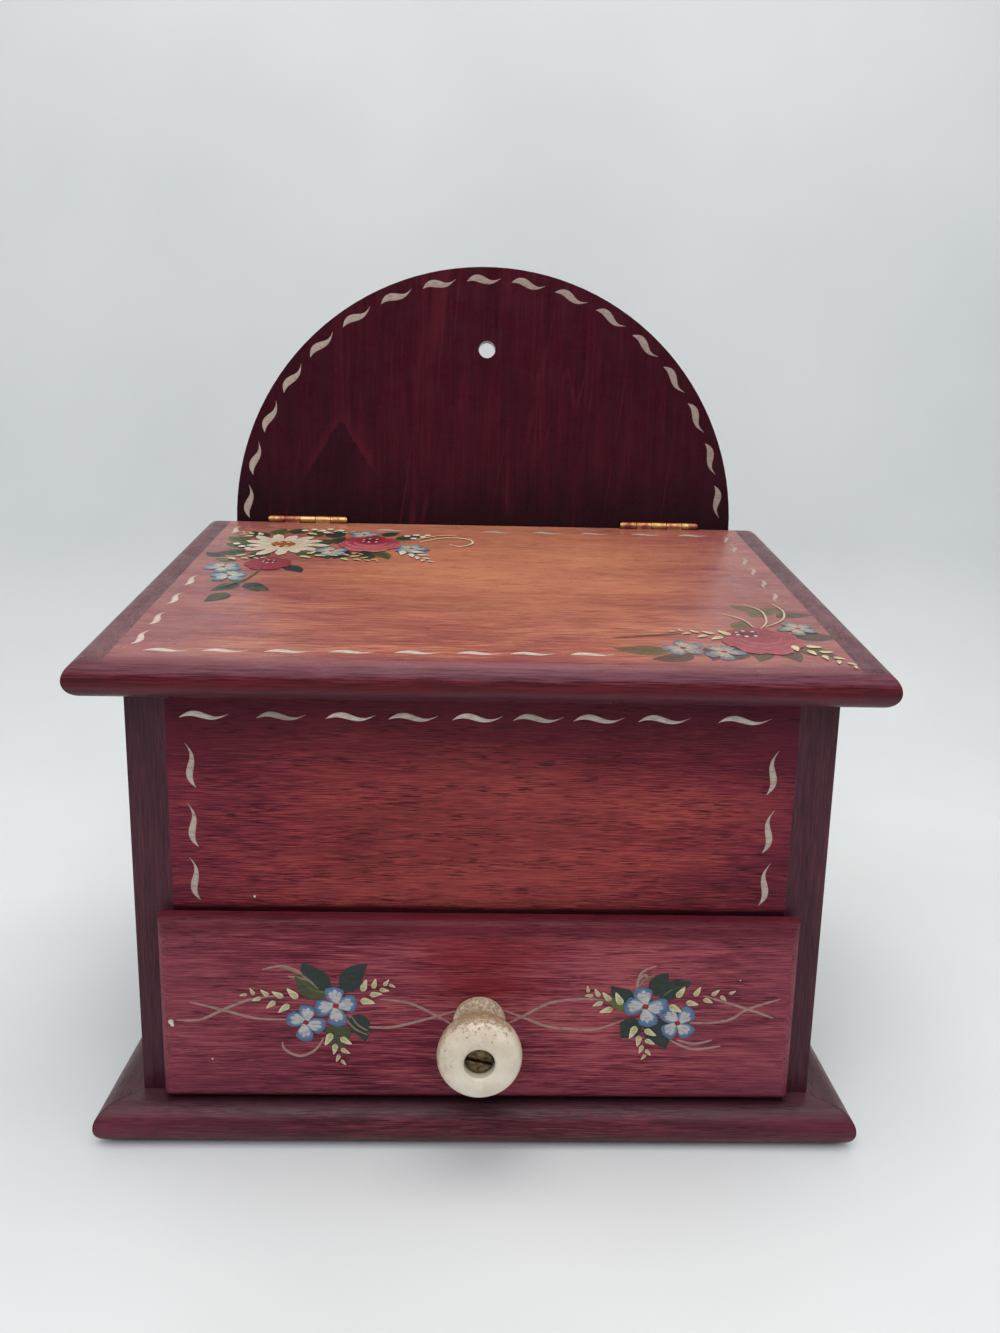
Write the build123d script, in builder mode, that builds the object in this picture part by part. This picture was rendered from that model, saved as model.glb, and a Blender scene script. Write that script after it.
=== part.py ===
from build123d import *
import os
from math import cos, radians, sin, tan

os.makedirs("parts", exist_ok=True)

# Case boards
board = 12.7
case_width = 228.6
side_depth = 168.8
back_thickness = 12.7
front_board_bottom = 76.5
lid_rest_gap = 0.3

# Back board with its arched top
arch_spring_height = 193.9
hang_hole_height = 273.0
hang_hole_diameter = 7.5

# Plinth moulding
plinth_height = 13.2
plinth_reach = 13.5
plinth_mitre_gap = 0.25

# Boards inside the case
floor_thickness = 6.35
floor_underside = 84.0
floor_groove = 3.0
bottom_board_thickness = 19.0

# Lid
lid_thickness = 12.7
lid_slope = 9.2
lid_top_at_back = 194.6
lid_front_overhang = 14.5
lid_side_overhang = 14.3
lid_end_width = 12.0
lid_tongue_thickness = 4.2
lid_tongue_length = 5.0
lid_tongue_stop = 18.0
lid_back_gap = 2.0

# Hinges
hinge_length = 35.0
hinge_inset = 33.0
barrel_radius = 1.9
pin_radius = 0.95
pin_clearance = 0.05
pin_head_height = 0.6
pin_above_lid = 0.7
leaf_thickness = 1.0
leaf_height = 12.0
leaf_neck = 2.4
knuckle_gap = 0.3
barrel_clearance = 0.35
hinge_screw_spacing = 12.0
hinge_screw_drop = 7.4
hinge_screw_radius = 1.1
hinge_screw_head_radius = 2.0
hinge_screw_length = 9.0
screw_slot_width = 0.5
screw_slot_depth = 0.45

# Drawer
drawer_lip_thickness = 6.35
drawer_lip_width = 211.0
drawer_lip_bottom = 14.8
drawer_lip_height = 65.0
drawer_lip_round = 3.6
drawer_block_thickness = 6.35
drawer_rest_gap = 2.0
drawer_side_thickness = 6.35
drawer_side_clearance = 0.6
drawer_bottom_clearance = 0.3
drawer_top_clearance = 1.2
drawer_end_clearance = 13.2
drawer_panel_thickness = 3.2
drawer_panel_height = 4.0
drawer_groove = 3.0
drawer_back_drop = 3.0
drawer_back_inset = 4.0

# Knob and its bolt
knob_drop = 2.4
knob_length = 26.6
knob_radius = 13.4
knob_base_radius = 8.7
knob_base_edge = 0.8
knob_base_thickness = 2.8
knob_neck_radius = 7.6
knob_mouth_radius = 4.9
knob_mouth_bevel = 0.6
knob_seat_depth = 5.0
bolt_radius = 2.0
bolt_hole_clearance = 0.1
bolt_head_radius = 4.5
bolt_head_height = 2.6
bolt_slot_width = 1.3
bolt_slot_depth = 1.2
bolt_slot_tilt = -13
bolt_end = 2.0
washer_radius = 5.5
washer_thickness = 0.9
nut_width = 7.5
nut_thickness = 3.2

# Nails
nail_radius = 0.8
nail_head_radius = 1.4
nail_head_height = 1.0
case_nail_length = 28.0
plinth_nail_length = 20.0
plinth_nail_inset = 24.3
drawer_nail_length = 14.0

# Positions worked out from the sizes above
case_depth = side_depth + back_thickness
front_y = -case_depth / 2
wall_y = case_depth / 2
back_face_y = front_y + side_depth
half_case = case_width / 2
half_inside = half_case - board
bottom_board_top = bottom_board_thickness
slope = radians(lid_slope)
lid_length = (side_depth + lid_front_overhang) / cos(slope)
half_lid = half_case + lid_side_overhang
half_panel = half_lid - lid_end_width
lid_round = lid_thickness / 2
lid_drop = lid_thickness / cos(slope) + lid_rest_gap
case_top_back = lid_top_at_back - lid_drop
case_top_front = case_top_back - side_depth * tan(slope)
front_board_back_top = case_top_front + board * tan(slope)
pin_y = back_face_y - lid_back_gap / 2
pin_z = lid_top_at_back + pin_above_lid
knuckle = hinge_length / 5
hinge_offset = half_case - hinge_inset
drawer_lip_back_y = front_y - drawer_rest_gap
drawer_face_y = drawer_lip_back_y - drawer_lip_thickness
drawer_block_back_y = drawer_lip_back_y + drawer_block_thickness
half_drawer = half_inside - drawer_side_clearance
drawer_underside = bottom_board_top + drawer_bottom_clearance
drawer_top = front_board_bottom - drawer_top_clearance
drawer_end_y = back_face_y - drawer_end_clearance
drawer_length = drawer_end_y - drawer_lip_back_y
drawer_panel_z = drawer_underside + drawer_panel_height
drawer_lip_mid_z = drawer_lip_bottom + drawer_lip_height / 2
knob_z = drawer_lip_mid_z - knob_drop
knob_axis = Axis((0, 0, knob_z), (0, 1, 0))
floor_mid_z = floor_underside + floor_thickness / 2
floor_front_y = front_y + board - floor_groove
half_drawer_inside = half_drawer - drawer_side_thickness
drawer_mid_z = (drawer_underside + drawer_top) / 2
drawer_panel_mid_z = drawer_panel_z + drawer_panel_thickness / 2
drawer_panel_front_y = drawer_block_back_y - drawer_groove

# Planes lying in the lid: its top face, its side section and its end section
lid_top_plane = Plane((0, back_face_y, lid_top_at_back), (1, 0, 0), (0, -sin(slope), cos(slope)))
lid_side_plane = Plane((0, back_face_y, lid_top_at_back), (0, cos(slope), sin(slope)), (1, 0, 0))
lid_end_plane = Plane((0, back_face_y, lid_top_at_back), (1, 0, 0), (0, -cos(slope), -sin(slope)))

# Places of nails and screws
side_nail_heights = [case_top_back * share for share in (0.17, 0.55, 0.9)]
plinth_nail_z = plinth_height / 2
back_nail_reach = half_case - board / 2
back_nail_places = [(x, z) for x in (-back_nail_reach, back_nail_reach) for z in side_nail_heights]
plinth_nail_reach = half_case - plinth_nail_inset
plinth_front_nails = [(x, plinth_nail_z) for x in (-plinth_nail_reach, 0, plinth_nail_reach)]
plinth_side_nails = [(y, plinth_nail_z) for y in (-case_depth / 4, case_depth / 4)]
front_board_height = case_top_front - front_board_bottom
front_nail_heights = [front_board_bottom + share * front_board_height for share in (0.27, 0.8)]
front_nail_y = front_y + board / 2
hinge_screw_places = [
    (side * hinge_offset + step * hinge_screw_spacing, pin_z - hinge_screw_drop)
    for side in (-1, 1)
    for step in (-1, 0, 1)
]
drawer_height = drawer_top - drawer_underside
drawer_nail_heights = [drawer_underside + share * drawer_height for share in (0.28, 0.72)]
drawer_back_mid_y = drawer_end_y - drawer_back_inset - drawer_side_thickness / 2
drawer_block_mid_y = drawer_lip_back_y + drawer_block_thickness / 2
drawer_nail_places = [(y, z) for y in (drawer_block_mid_y, drawer_back_mid_y) for z in drawer_nail_heights]

# Left side board, with a sloping top, a groove for the floor and nail holes
with BuildPart() as left_side:
    with BuildSketch(Plane.YZ.offset(-half_case)):
        with BuildLine():
            Polyline(
                (front_y, 0),
                (back_face_y, 0),
                (back_face_y, case_top_back),
                (front_y, case_top_front),
                close=True,
            )
        make_face()
    extrude(amount=board)
    with BuildSketch(Plane.YZ.offset(-half_inside - floor_groove)):
        with Locations(((floor_front_y + back_face_y) / 2, floor_mid_z)):
            Rectangle(back_face_y - floor_front_y, floor_thickness)
    extrude(amount=floor_groove, mode=Mode.SUBTRACT)
    with BuildSketch(Plane.XZ.offset(-back_face_y)):
        with Locations([place for place in back_nail_places if place[0] < 0]):
            Circle(nail_radius)
    extrude(amount=case_nail_length - back_thickness, mode=Mode.SUBTRACT)
    with BuildSketch(Plane.YZ.offset(-half_case)):
        with Locations([(front_nail_y, z) for z in front_nail_heights]):
            Circle(nail_radius)
        with Locations(plinth_side_nails):
            Circle(nail_radius)
    extrude(amount=board, mode=Mode.SUBTRACT)
    with BuildSketch(Plane.YZ.offset(-half_case)):
        with Locations([(front_nail_y, z) for z in front_nail_heights]):
            Circle(nail_head_radius)
    extrude(amount=nail_head_height, mode=Mode.SUBTRACT)
left_side.part.label = "left_side"
export_step(left_side.part, "parts/left_side.step")

# Right side board, the left one mirrored
with BuildPart() as right_side:
    mirror(left_side.part, about=Plane.YZ)
right_side.part.label = "right_side"
export_step(right_side.part, "parts/right_side.step")

# Front board of the upper compartment, fitted between the sides
with BuildPart() as front_board:
    with BuildSketch(Plane.YZ):
        with BuildLine():
            Polyline(
                (front_y, front_board_bottom),
                (front_y + board, front_board_bottom),
                (front_y + board, front_board_back_top),
                (front_y, case_top_front),
                close=True,
            )
        make_face()
    extrude(amount=half_inside, both=True)
    with BuildSketch(Plane.YZ):
        with Locations((front_y + board - floor_groove / 2, floor_mid_z)):
            Rectangle(floor_groove, floor_thickness)
    extrude(amount=half_inside, both=True, mode=Mode.SUBTRACT)
    for side in (-1, 1):
        with BuildSketch(Plane.YZ.offset(side * half_inside)):
            with Locations([(front_nail_y, z) for z in front_nail_heights]):
                Circle(nail_radius)
        extrude(amount=-side * (case_nail_length - board), mode=Mode.SUBTRACT)
front_board.part.label = "front_board"
export_step(front_board.part, "parts/front_board.step")

# Back board, arched at the top, with the hole it hangs by
with BuildPart() as back_board:
    with BuildSketch(Plane.XZ.offset(-back_face_y)):
        with Locations((0, arch_spring_height / 2)):
            Rectangle(case_width, arch_spring_height)
        with Locations((0, arch_spring_height)):
            Circle(half_case)
        with Locations((0, hang_hole_height)):
            Circle(hang_hole_diameter / 2, mode=Mode.SUBTRACT)
    extrude(amount=-back_thickness)
    with BuildSketch(Plane.XZ.offset(-back_face_y)):
        with Locations((0, floor_mid_z)):
            Rectangle(2 * half_inside, floor_thickness)
    extrude(amount=-floor_groove, mode=Mode.SUBTRACT)
    # Recesses for the hinge leaves and room for the barrels
    with BuildSketch(Plane.XZ.offset(-back_face_y)):
        with Locations([(side * hinge_offset, pin_z - leaf_height / 2) for side in (-1, 1)]):
            Rectangle(hinge_length, leaf_height)
    extrude(amount=-leaf_thickness, mode=Mode.SUBTRACT)
    for side in (-1, 1):
        with BuildSketch(Plane.YZ.offset(side * hinge_offset)):
            with Locations((pin_y, pin_z)):
                Circle(barrel_radius + barrel_clearance)
        extrude(amount=hinge_length / 2 + pin_head_height + barrel_clearance, both=True, mode=Mode.SUBTRACT)
    with BuildSketch(Plane.XZ.offset(-back_face_y - leaf_thickness)):
        with Locations(hinge_screw_places):
            Circle(hinge_screw_radius)
    extrude(amount=-(hinge_screw_length - leaf_thickness), mode=Mode.SUBTRACT)
    with BuildSketch(Plane.XZ.offset(-back_face_y)):
        with Locations(back_nail_places):
            Circle(nail_radius)
    extrude(amount=-back_thickness, mode=Mode.SUBTRACT)
    with BuildSketch(Plane.XZ.offset(-wall_y)):
        with Locations(back_nail_places):
            Circle(nail_head_radius)
    extrude(amount=nail_head_height, mode=Mode.SUBTRACT)
back_board.part.label = "back_board"
export_step(back_board.part, "parts/back_board.step")

# Floor of the upper compartment, let into grooves all round
with BuildPart() as compartment_floor:
    with BuildSketch(Plane.XY.offset(floor_underside)):
        with Locations((0, (floor_front_y + back_face_y) / 2)):
            Rectangle(2 * half_inside, back_face_y - floor_front_y)
        with Locations((0, (front_y + board + back_face_y) / 2)):
            Rectangle(2 * (half_inside + floor_groove), side_depth - board)
        with Locations((0, back_face_y)):
            Rectangle(2 * half_inside, 2 * floor_groove)
    extrude(amount=floor_thickness)
compartment_floor.part.label = "compartment_floor"
export_step(compartment_floor.part, "parts/compartment_floor.step")

# Thick bottom board that carries the drawer
with BuildPart() as bottom_board:
    with BuildSketch(Plane.XY.offset(bottom_board_top)):
        with Locations((0, (front_y + back_face_y) / 2)):
            Rectangle(2 * half_inside, side_depth)
    extrude(amount=-bottom_board_thickness)
    with BuildSketch(Plane.XZ.offset(-front_y)):
        with Locations(plinth_front_nails):
            Circle(nail_radius)
    extrude(amount=-(plinth_nail_length - plinth_reach), mode=Mode.SUBTRACT)
bottom_board.part.label = "bottom_board"
export_step(bottom_board.part, "parts/bottom_board.step")

# Front plinth moulding, round-nosed and mitred at both ends
with BuildPart() as plinth_front:
    with BuildSketch(Plane.YZ):
        with BuildLine():
            Polyline(
                (front_y - plinth_reach + plinth_height / 2, 0),
                (front_y, 0),
                (front_y, plinth_height),
                (front_y - plinth_reach + plinth_height / 2, plinth_height),
            )
            ThreePointArc(
                (front_y - plinth_reach + plinth_height / 2, plinth_height),
                (front_y - plinth_reach, plinth_height / 2),
                (front_y - plinth_reach + plinth_height / 2, 0),
            )
        make_face()
    extrude(amount=half_case + plinth_reach, both=True)
    with BuildSketch():
        with BuildLine():
            Polyline(
                (-half_case + plinth_mitre_gap, front_y),
                (half_case - plinth_mitre_gap, front_y),
                (half_case + plinth_reach - plinth_mitre_gap, front_y - plinth_reach),
                (-half_case - plinth_reach + plinth_mitre_gap, front_y - plinth_reach),
                close=True,
            )
        make_face()
    extrude(amount=plinth_height, mode=Mode.INTERSECT)
    with BuildSketch(Plane.XZ.offset(-front_y)):
        with Locations(plinth_front_nails):
            Circle(nail_radius)
    extrude(amount=plinth_reach, mode=Mode.SUBTRACT)
plinth_front.part.label = "plinth_front"
export_step(plinth_front.part, "parts/plinth_front.step")

# Left plinth moulding, mitred at the front and square at the wall
with BuildPart() as plinth_left:
    with BuildSketch(Plane.XZ.offset(-wall_y)):
        with BuildLine():
            Polyline(
                (-half_case - plinth_reach + plinth_height / 2, 0),
                (-half_case, 0),
                (-half_case, plinth_height),
                (-half_case - plinth_reach + plinth_height / 2, plinth_height),
            )
            ThreePointArc(
                (-half_case - plinth_reach + plinth_height / 2, plinth_height),
                (-half_case - plinth_reach, plinth_height / 2),
                (-half_case - plinth_reach + plinth_height / 2, 0),
            )
        make_face()
    extrude(amount=case_depth + plinth_reach)
    with BuildSketch():
        with BuildLine():
            Polyline(
                (-half_case, front_y),
                (-half_case, wall_y),
                (-half_case - plinth_reach, wall_y),
                (-half_case - plinth_reach, front_y - plinth_reach),
                close=True,
            )
        make_face()
    extrude(amount=plinth_height, mode=Mode.INTERSECT)
    with BuildSketch(Plane.YZ.offset(-half_case)):
        with Locations(plinth_side_nails):
            Circle(nail_radius)
    extrude(amount=-plinth_reach, mode=Mode.SUBTRACT)
plinth_left.part.label = "plinth_left"
export_step(plinth_left.part, "parts/plinth_left.step")

# Right plinth moulding, the left one mirrored
with BuildPart() as plinth_right:
    mirror(plinth_left.part, about=Plane.YZ)
plinth_right.part.label = "plinth_right"
export_step(plinth_right.part, "parts/plinth_right.step")

# Nails that hold the back board and the front board to the sides
with BuildPart() as case_nails:
    with BuildSketch(Plane.XZ.offset(-wall_y)):
        with Locations(back_nail_places):
            Circle(nail_radius)
    extrude(amount=case_nail_length)
    with BuildSketch(Plane.XZ.offset(-wall_y)):
        with Locations(back_nail_places):
            Circle(nail_head_radius)
    extrude(amount=nail_head_height)
    for side in (-1, 1):
        with BuildSketch(Plane.YZ.offset(side * half_case)):
            with Locations([(front_nail_y, z) for z in front_nail_heights]):
                Circle(nail_radius)
        extrude(amount=-side * case_nail_length)
        with BuildSketch(Plane.YZ.offset(side * half_case)):
            with Locations([(front_nail_y, z) for z in front_nail_heights]):
                Circle(nail_head_radius)
        extrude(amount=-side * nail_head_height)
case_nails.part.label = "case_nails"
export_step(case_nails.part, "parts/case_nails.step")

# Headless pins that hold the plinth mouldings
with BuildPart() as plinth_nails:
    with BuildSketch(Plane.XZ.offset(-front_y + plinth_reach)):
        with Locations(plinth_front_nails):
            Circle(nail_radius)
    extrude(amount=-plinth_nail_length)
    for side in (-1, 1):
        with BuildSketch(Plane.YZ.offset(side * (half_case + plinth_reach))):
            with Locations(plinth_side_nails):
                Circle(nail_radius)
        extrude(amount=-side * plinth_nail_length)
plinth_nails.part.label = "plinth_nails"
export_step(plinth_nails.part, "parts/plinth_nails.step")

# Middle board of the lid, with tongues for the end strips and recesses for the hinges
with BuildPart() as lid_panel:
    with BuildSketch(lid_side_plane):
        with BuildLine():
            Polyline(
                (-lid_length + lid_round, 0),
                (lid_thickness, 0),
                (lid_thickness, -lid_thickness),
                (-lid_length + lid_round, -lid_thickness),
            )
            ThreePointArc(
                (-lid_length + lid_round, -lid_thickness),
                (-lid_length, -lid_round),
                (-lid_length + lid_round, 0),
            )
        make_face()
    extrude(amount=half_panel, both=True)
    with BuildSketch(lid_top_plane.offset(-(lid_thickness - lid_tongue_thickness) / 2)):
        with Locations((0, -lid_length / 2)):
            Rectangle(2 * (half_panel + lid_tongue_length), lid_length - 2 * lid_tongue_stop)
    extrude(amount=-lid_tongue_thickness)
    with BuildSketch(Plane.YZ):
        with Locations((back_face_y - lid_back_gap + board, lid_top_at_back)):
            Rectangle(2 * board, 6 * board)
    extrude(amount=half_lid, both=True, mode=Mode.SUBTRACT)
    with BuildSketch(Plane.XZ.offset(-back_face_y + lid_back_gap)):
        with Locations([(side * hinge_offset, pin_z - leaf_height / 2) for side in (-1, 1)]):
            Rectangle(hinge_length, leaf_height)
    extrude(amount=leaf_thickness, mode=Mode.SUBTRACT)
    for side in (-1, 1):
        with BuildSketch(Plane.YZ.offset(side * hinge_offset)):
            with Locations((pin_y, pin_z)):
                Circle(barrel_radius + barrel_clearance)
        extrude(amount=hinge_length / 2 + pin_head_height + barrel_clearance, both=True, mode=Mode.SUBTRACT)
    with BuildSketch(Plane.XZ.offset(-back_face_y + lid_back_gap + leaf_thickness)):
        with Locations(hinge_screw_places):
            Circle(hinge_screw_radius)
    extrude(amount=hinge_screw_length - leaf_thickness, mode=Mode.SUBTRACT)
lid_panel.part.label = "lid_panel"
export_step(lid_panel.part, "parts/lid_panel.step")

# Right end strip of the lid, round-nosed on its outer and front edges, grooved for the tongue
with BuildPart() as lid_right_end:
    with BuildSketch(lid_side_plane.offset(half_panel)):
        with BuildLine():
            Polyline(
                (-lid_length + lid_round, 0),
                (lid_thickness, 0),
                (lid_thickness, -lid_thickness),
                (-lid_length + lid_round, -lid_thickness),
            )
            ThreePointArc(
                (-lid_length + lid_round, -lid_thickness),
                (-lid_length, -lid_round),
                (-lid_length + lid_round, 0),
            )
        make_face()
    extrude(amount=lid_end_width)
    with BuildSketch(lid_end_plane.offset(-2 * lid_thickness)):
        with BuildLine():
            Polyline(
                (half_lid - lid_round, -lid_thickness),
                (half_panel, -lid_thickness),
                (half_panel, 0),
                (half_lid - lid_round, 0),
            )
            ThreePointArc(
                (half_lid - lid_round, 0),
                (half_lid, -lid_round),
                (half_lid - lid_round, -lid_thickness),
            )
        make_face()
    extrude(amount=lid_length + 3 * lid_thickness, mode=Mode.INTERSECT)
    with BuildSketch(lid_top_plane.offset(-(lid_thickness - lid_tongue_thickness) / 2)):
        with Locations((0, -lid_length / 2)):
            Rectangle(2 * (half_panel + lid_tongue_length), lid_length - 2 * lid_tongue_stop)
    extrude(amount=-lid_tongue_thickness, mode=Mode.SUBTRACT)
    with BuildSketch(Plane.YZ):
        with Locations((back_face_y - lid_back_gap + board, lid_top_at_back)):
            Rectangle(2 * board, 6 * board)
    extrude(amount=half_lid, both=True, mode=Mode.SUBTRACT)
lid_right_end.part.label = "lid_right_end"
export_step(lid_right_end.part, "parts/lid_right_end.step")

# Left end strip of the lid, the right one mirrored
with BuildPart() as lid_left_end:
    mirror(lid_right_end.part, about=Plane.YZ)
lid_left_end.part.label = "lid_left_end"
export_step(lid_left_end.part, "parts/lid_left_end.step")

# Right hinge, leaf on the back board: a plate with the two outer knuckles and the middle one
with BuildPart() as hinge_right_case_leaf:
    with BuildSketch(Plane.XZ.offset(-back_face_y)):
        with Locations((hinge_offset, pin_z - (leaf_height + leaf_neck) / 2)):
            Rectangle(hinge_length, leaf_height - leaf_neck)
    extrude(amount=-leaf_thickness)
    for step in (-2, 0, 2):
        with BuildSketch(Plane.YZ.offset(hinge_offset + step * knuckle)):
            with Locations((pin_y, pin_z)):
                Circle(barrel_radius)
            with Locations((back_face_y + leaf_thickness / 2, pin_z - leaf_neck / 2)):
                Rectangle(leaf_thickness, leaf_neck)
        extrude(amount=(knuckle - knuckle_gap) / 2, both=True)
    with BuildSketch(Plane.YZ.offset(hinge_offset)):
        with Locations((pin_y, pin_z)):
            Circle(pin_radius + pin_clearance)
    extrude(amount=hinge_length, both=True, mode=Mode.SUBTRACT)
    with Locations(
        [
            Location(Plane((x, back_face_y, z), (1, 0, 0), (0, -1, 0)))
            for x, z in hinge_screw_places
            if x > 0
        ]
    ):
        Cone(hinge_screw_radius, hinge_screw_head_radius, leaf_thickness, mode=Mode.SUBTRACT,
             align=(Align.CENTER, Align.CENTER, Align.MAX))
hinge_right_case_leaf.part.label = "hinge_right_case_leaf"
export_step(hinge_right_case_leaf.part, "parts/hinge_right_case_leaf.step")

# Right hinge, leaf on the edge of the lid: a plate with the two knuckles between
with BuildPart() as hinge_right_lid_leaf:
    with BuildSketch(Plane.XZ.offset(-back_face_y + lid_back_gap)):
        with Locations((hinge_offset, pin_z - (leaf_height + leaf_neck) / 2)):
            Rectangle(hinge_length, leaf_height - leaf_neck)
    extrude(amount=leaf_thickness)
    for step in (-1, 1):
        with BuildSketch(Plane.YZ.offset(hinge_offset + step * knuckle)):
            with Locations((pin_y, pin_z)):
                Circle(barrel_radius)
            with Locations((back_face_y - lid_back_gap - leaf_thickness / 2, pin_z - leaf_neck / 2)):
                Rectangle(leaf_thickness, leaf_neck)
        extrude(amount=(knuckle - knuckle_gap) / 2, both=True)
    with BuildSketch(Plane.YZ.offset(hinge_offset)):
        with Locations((pin_y, pin_z)):
            Circle(pin_radius + pin_clearance)
    extrude(amount=hinge_length, both=True, mode=Mode.SUBTRACT)
    with Locations(
        [
            Location(Plane((x, back_face_y - lid_back_gap, z), (1, 0, 0), (0, 1, 0)))
            for x, z in hinge_screw_places
            if x > 0
        ]
    ):
        Cone(hinge_screw_radius, hinge_screw_head_radius, leaf_thickness, mode=Mode.SUBTRACT,
             align=(Align.CENTER, Align.CENTER, Align.MAX))
hinge_right_lid_leaf.part.label = "hinge_right_lid_leaf"
export_step(hinge_right_lid_leaf.part, "parts/hinge_right_lid_leaf.step")

# Right hinge pin, with a small head at each end
with BuildPart() as hinge_right_pin:
    with BuildSketch(Plane.YZ.offset(hinge_offset)):
        with Locations((pin_y, pin_z)):
            Circle(pin_radius)
    extrude(amount=(hinge_length - knuckle_gap) / 2 + pin_head_height, both=True)
    for side in (-1, 1):
        with BuildSketch(Plane.YZ.offset(hinge_offset + side * (hinge_length - knuckle_gap) / 2)):
            with Locations((pin_y, pin_z)):
                Circle(barrel_radius * 0.8)
        extrude(amount=side * pin_head_height)
hinge_right_pin.part.label = "hinge_right_pin"
export_step(hinge_right_pin.part, "parts/hinge_right_pin.step")

# Left hinge, the right one mirrored piece by piece
with BuildPart() as hinge_left_case_leaf:
    mirror(hinge_right_case_leaf.part, about=Plane.YZ)
hinge_left_case_leaf.part.label = "hinge_left_case_leaf"
export_step(hinge_left_case_leaf.part, "parts/hinge_left_case_leaf.step")

with BuildPart() as hinge_left_lid_leaf:
    mirror(hinge_right_lid_leaf.part, about=Plane.YZ)
hinge_left_lid_leaf.part.label = "hinge_left_lid_leaf"
export_step(hinge_left_lid_leaf.part, "parts/hinge_left_lid_leaf.step")

with BuildPart() as hinge_left_pin:
    mirror(hinge_right_pin.part, about=Plane.YZ)
hinge_left_pin.part.label = "hinge_left_pin"
export_step(hinge_left_pin.part, "parts/hinge_left_pin.step")

# Screws of the leaves on the back board, countersunk and slotted
with BuildPart() as hinge_case_screws:
    with BuildSketch(Plane.XZ.offset(-back_face_y)):
        with Locations(hinge_screw_places):
            Circle(hinge_screw_radius)
    extrude(amount=-hinge_screw_length)
    with Locations(
        [
            Location(Plane((x, back_face_y, z), (1, 0, 0), (0, -1, 0)))
            for x, z in hinge_screw_places
        ]
    ):
        Cone(hinge_screw_radius, hinge_screw_head_radius, leaf_thickness,
             align=(Align.CENTER, Align.CENTER, Align.MAX))
    with BuildSketch(Plane.XZ.offset(-back_face_y)):
        with Locations(hinge_screw_places):
            Rectangle(2 * hinge_screw_head_radius, screw_slot_width)
    extrude(amount=-screw_slot_depth, mode=Mode.SUBTRACT)
hinge_case_screws.part.label = "hinge_case_screws"
export_step(hinge_case_screws.part, "parts/hinge_case_screws.step")

# Screws of the leaves on the lid
with BuildPart() as hinge_lid_screws:
    with BuildSketch(Plane.XZ.offset(-back_face_y + lid_back_gap)):
        with Locations(hinge_screw_places):
            Circle(hinge_screw_radius)
    extrude(amount=hinge_screw_length)
    with Locations(
        [
            Location(Plane((x, back_face_y - lid_back_gap, z), (1, 0, 0), (0, 1, 0)))
            for x, z in hinge_screw_places
        ]
    ):
        Cone(hinge_screw_radius, hinge_screw_head_radius, leaf_thickness,
             align=(Align.CENTER, Align.CENTER, Align.MAX))
    with BuildSketch(Plane.XZ.offset(-back_face_y + lid_back_gap)):
        with Locations(hinge_screw_places):
            Rectangle(2 * hinge_screw_head_radius, screw_slot_width)
    extrude(amount=screw_slot_depth, mode=Mode.SUBTRACT)
hinge_lid_screws.part.label = "hinge_lid_screws"
export_step(hinge_lid_screws.part, "parts/hinge_lid_screws.step")

# Drawer front: a lip with rounded front edges over the opening, and a block that enters it
with BuildPart() as drawer_front:
    with BuildSketch(Plane.XZ.offset(-drawer_lip_back_y)):
        with Locations((0, drawer_lip_mid_z)):
            Rectangle(drawer_lip_width, drawer_lip_height)
    extrude(amount=drawer_lip_thickness)
    fillet(drawer_front.faces().sort_by(Axis.Y)[0].edges(), drawer_lip_round)
    with BuildSketch(Plane.XZ.offset(-drawer_lip_back_y)):
        with Locations((0, drawer_mid_z)):
            Rectangle(2 * half_drawer_inside, drawer_height)
    extrude(amount=-drawer_block_thickness)
    # Groove for the drawer bottom and nail holes in the ends of the block
    with BuildSketch(Plane.XZ.offset(-drawer_block_back_y)):
        with Locations((0, drawer_panel_mid_z)):
            Rectangle(2 * half_drawer_inside, drawer_panel_thickness)
    extrude(amount=drawer_groove, mode=Mode.SUBTRACT)
    for side in (-1, 1):
        with BuildSketch(Plane.YZ.offset(side * half_drawer_inside)):
            with Locations([(drawer_block_mid_y, z) for z in drawer_nail_heights]):
                Circle(nail_radius)
        extrude(amount=-side * (drawer_nail_length - drawer_side_thickness), mode=Mode.SUBTRACT)
    with BuildSketch(Plane.XZ.offset(-drawer_block_back_y)):
        with Locations((0, knob_z)):
            Circle(bolt_radius + bolt_hole_clearance)
    extrude(amount=drawer_block_thickness + drawer_lip_thickness, mode=Mode.SUBTRACT)
drawer_front.part.label = "drawer_front"
export_step(drawer_front.part, "parts/drawer_front.step")

# Left drawer side, grooved for the drawer bottom
with BuildPart() as drawer_left_side:
    with BuildSketch(Plane.YZ.offset(-half_drawer)):
        with Locations(((drawer_end_y + drawer_lip_back_y) / 2, drawer_mid_z)):
            Rectangle(drawer_length, drawer_height)
    extrude(amount=drawer_side_thickness)
    with BuildSketch(Plane.YZ.offset(-half_drawer_inside)):
        with Locations(((drawer_end_y + drawer_panel_front_y) / 2, drawer_panel_mid_z)):
            Rectangle(drawer_end_y - drawer_panel_front_y, drawer_panel_thickness)
    extrude(amount=-drawer_groove, mode=Mode.SUBTRACT)
    with BuildSketch(Plane.YZ.offset(-half_drawer)):
        with Locations(drawer_nail_places):
            Circle(nail_radius)
    extrude(amount=drawer_side_thickness, mode=Mode.SUBTRACT)
    with BuildSketch(Plane.YZ.offset(-half_drawer)):
        with Locations(drawer_nail_places):
            Circle(nail_head_radius)
    extrude(amount=nail_head_height, mode=Mode.SUBTRACT)
drawer_left_side.part.label = "drawer_left_side"
export_step(drawer_left_side.part, "parts/drawer_left_side.step")

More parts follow.
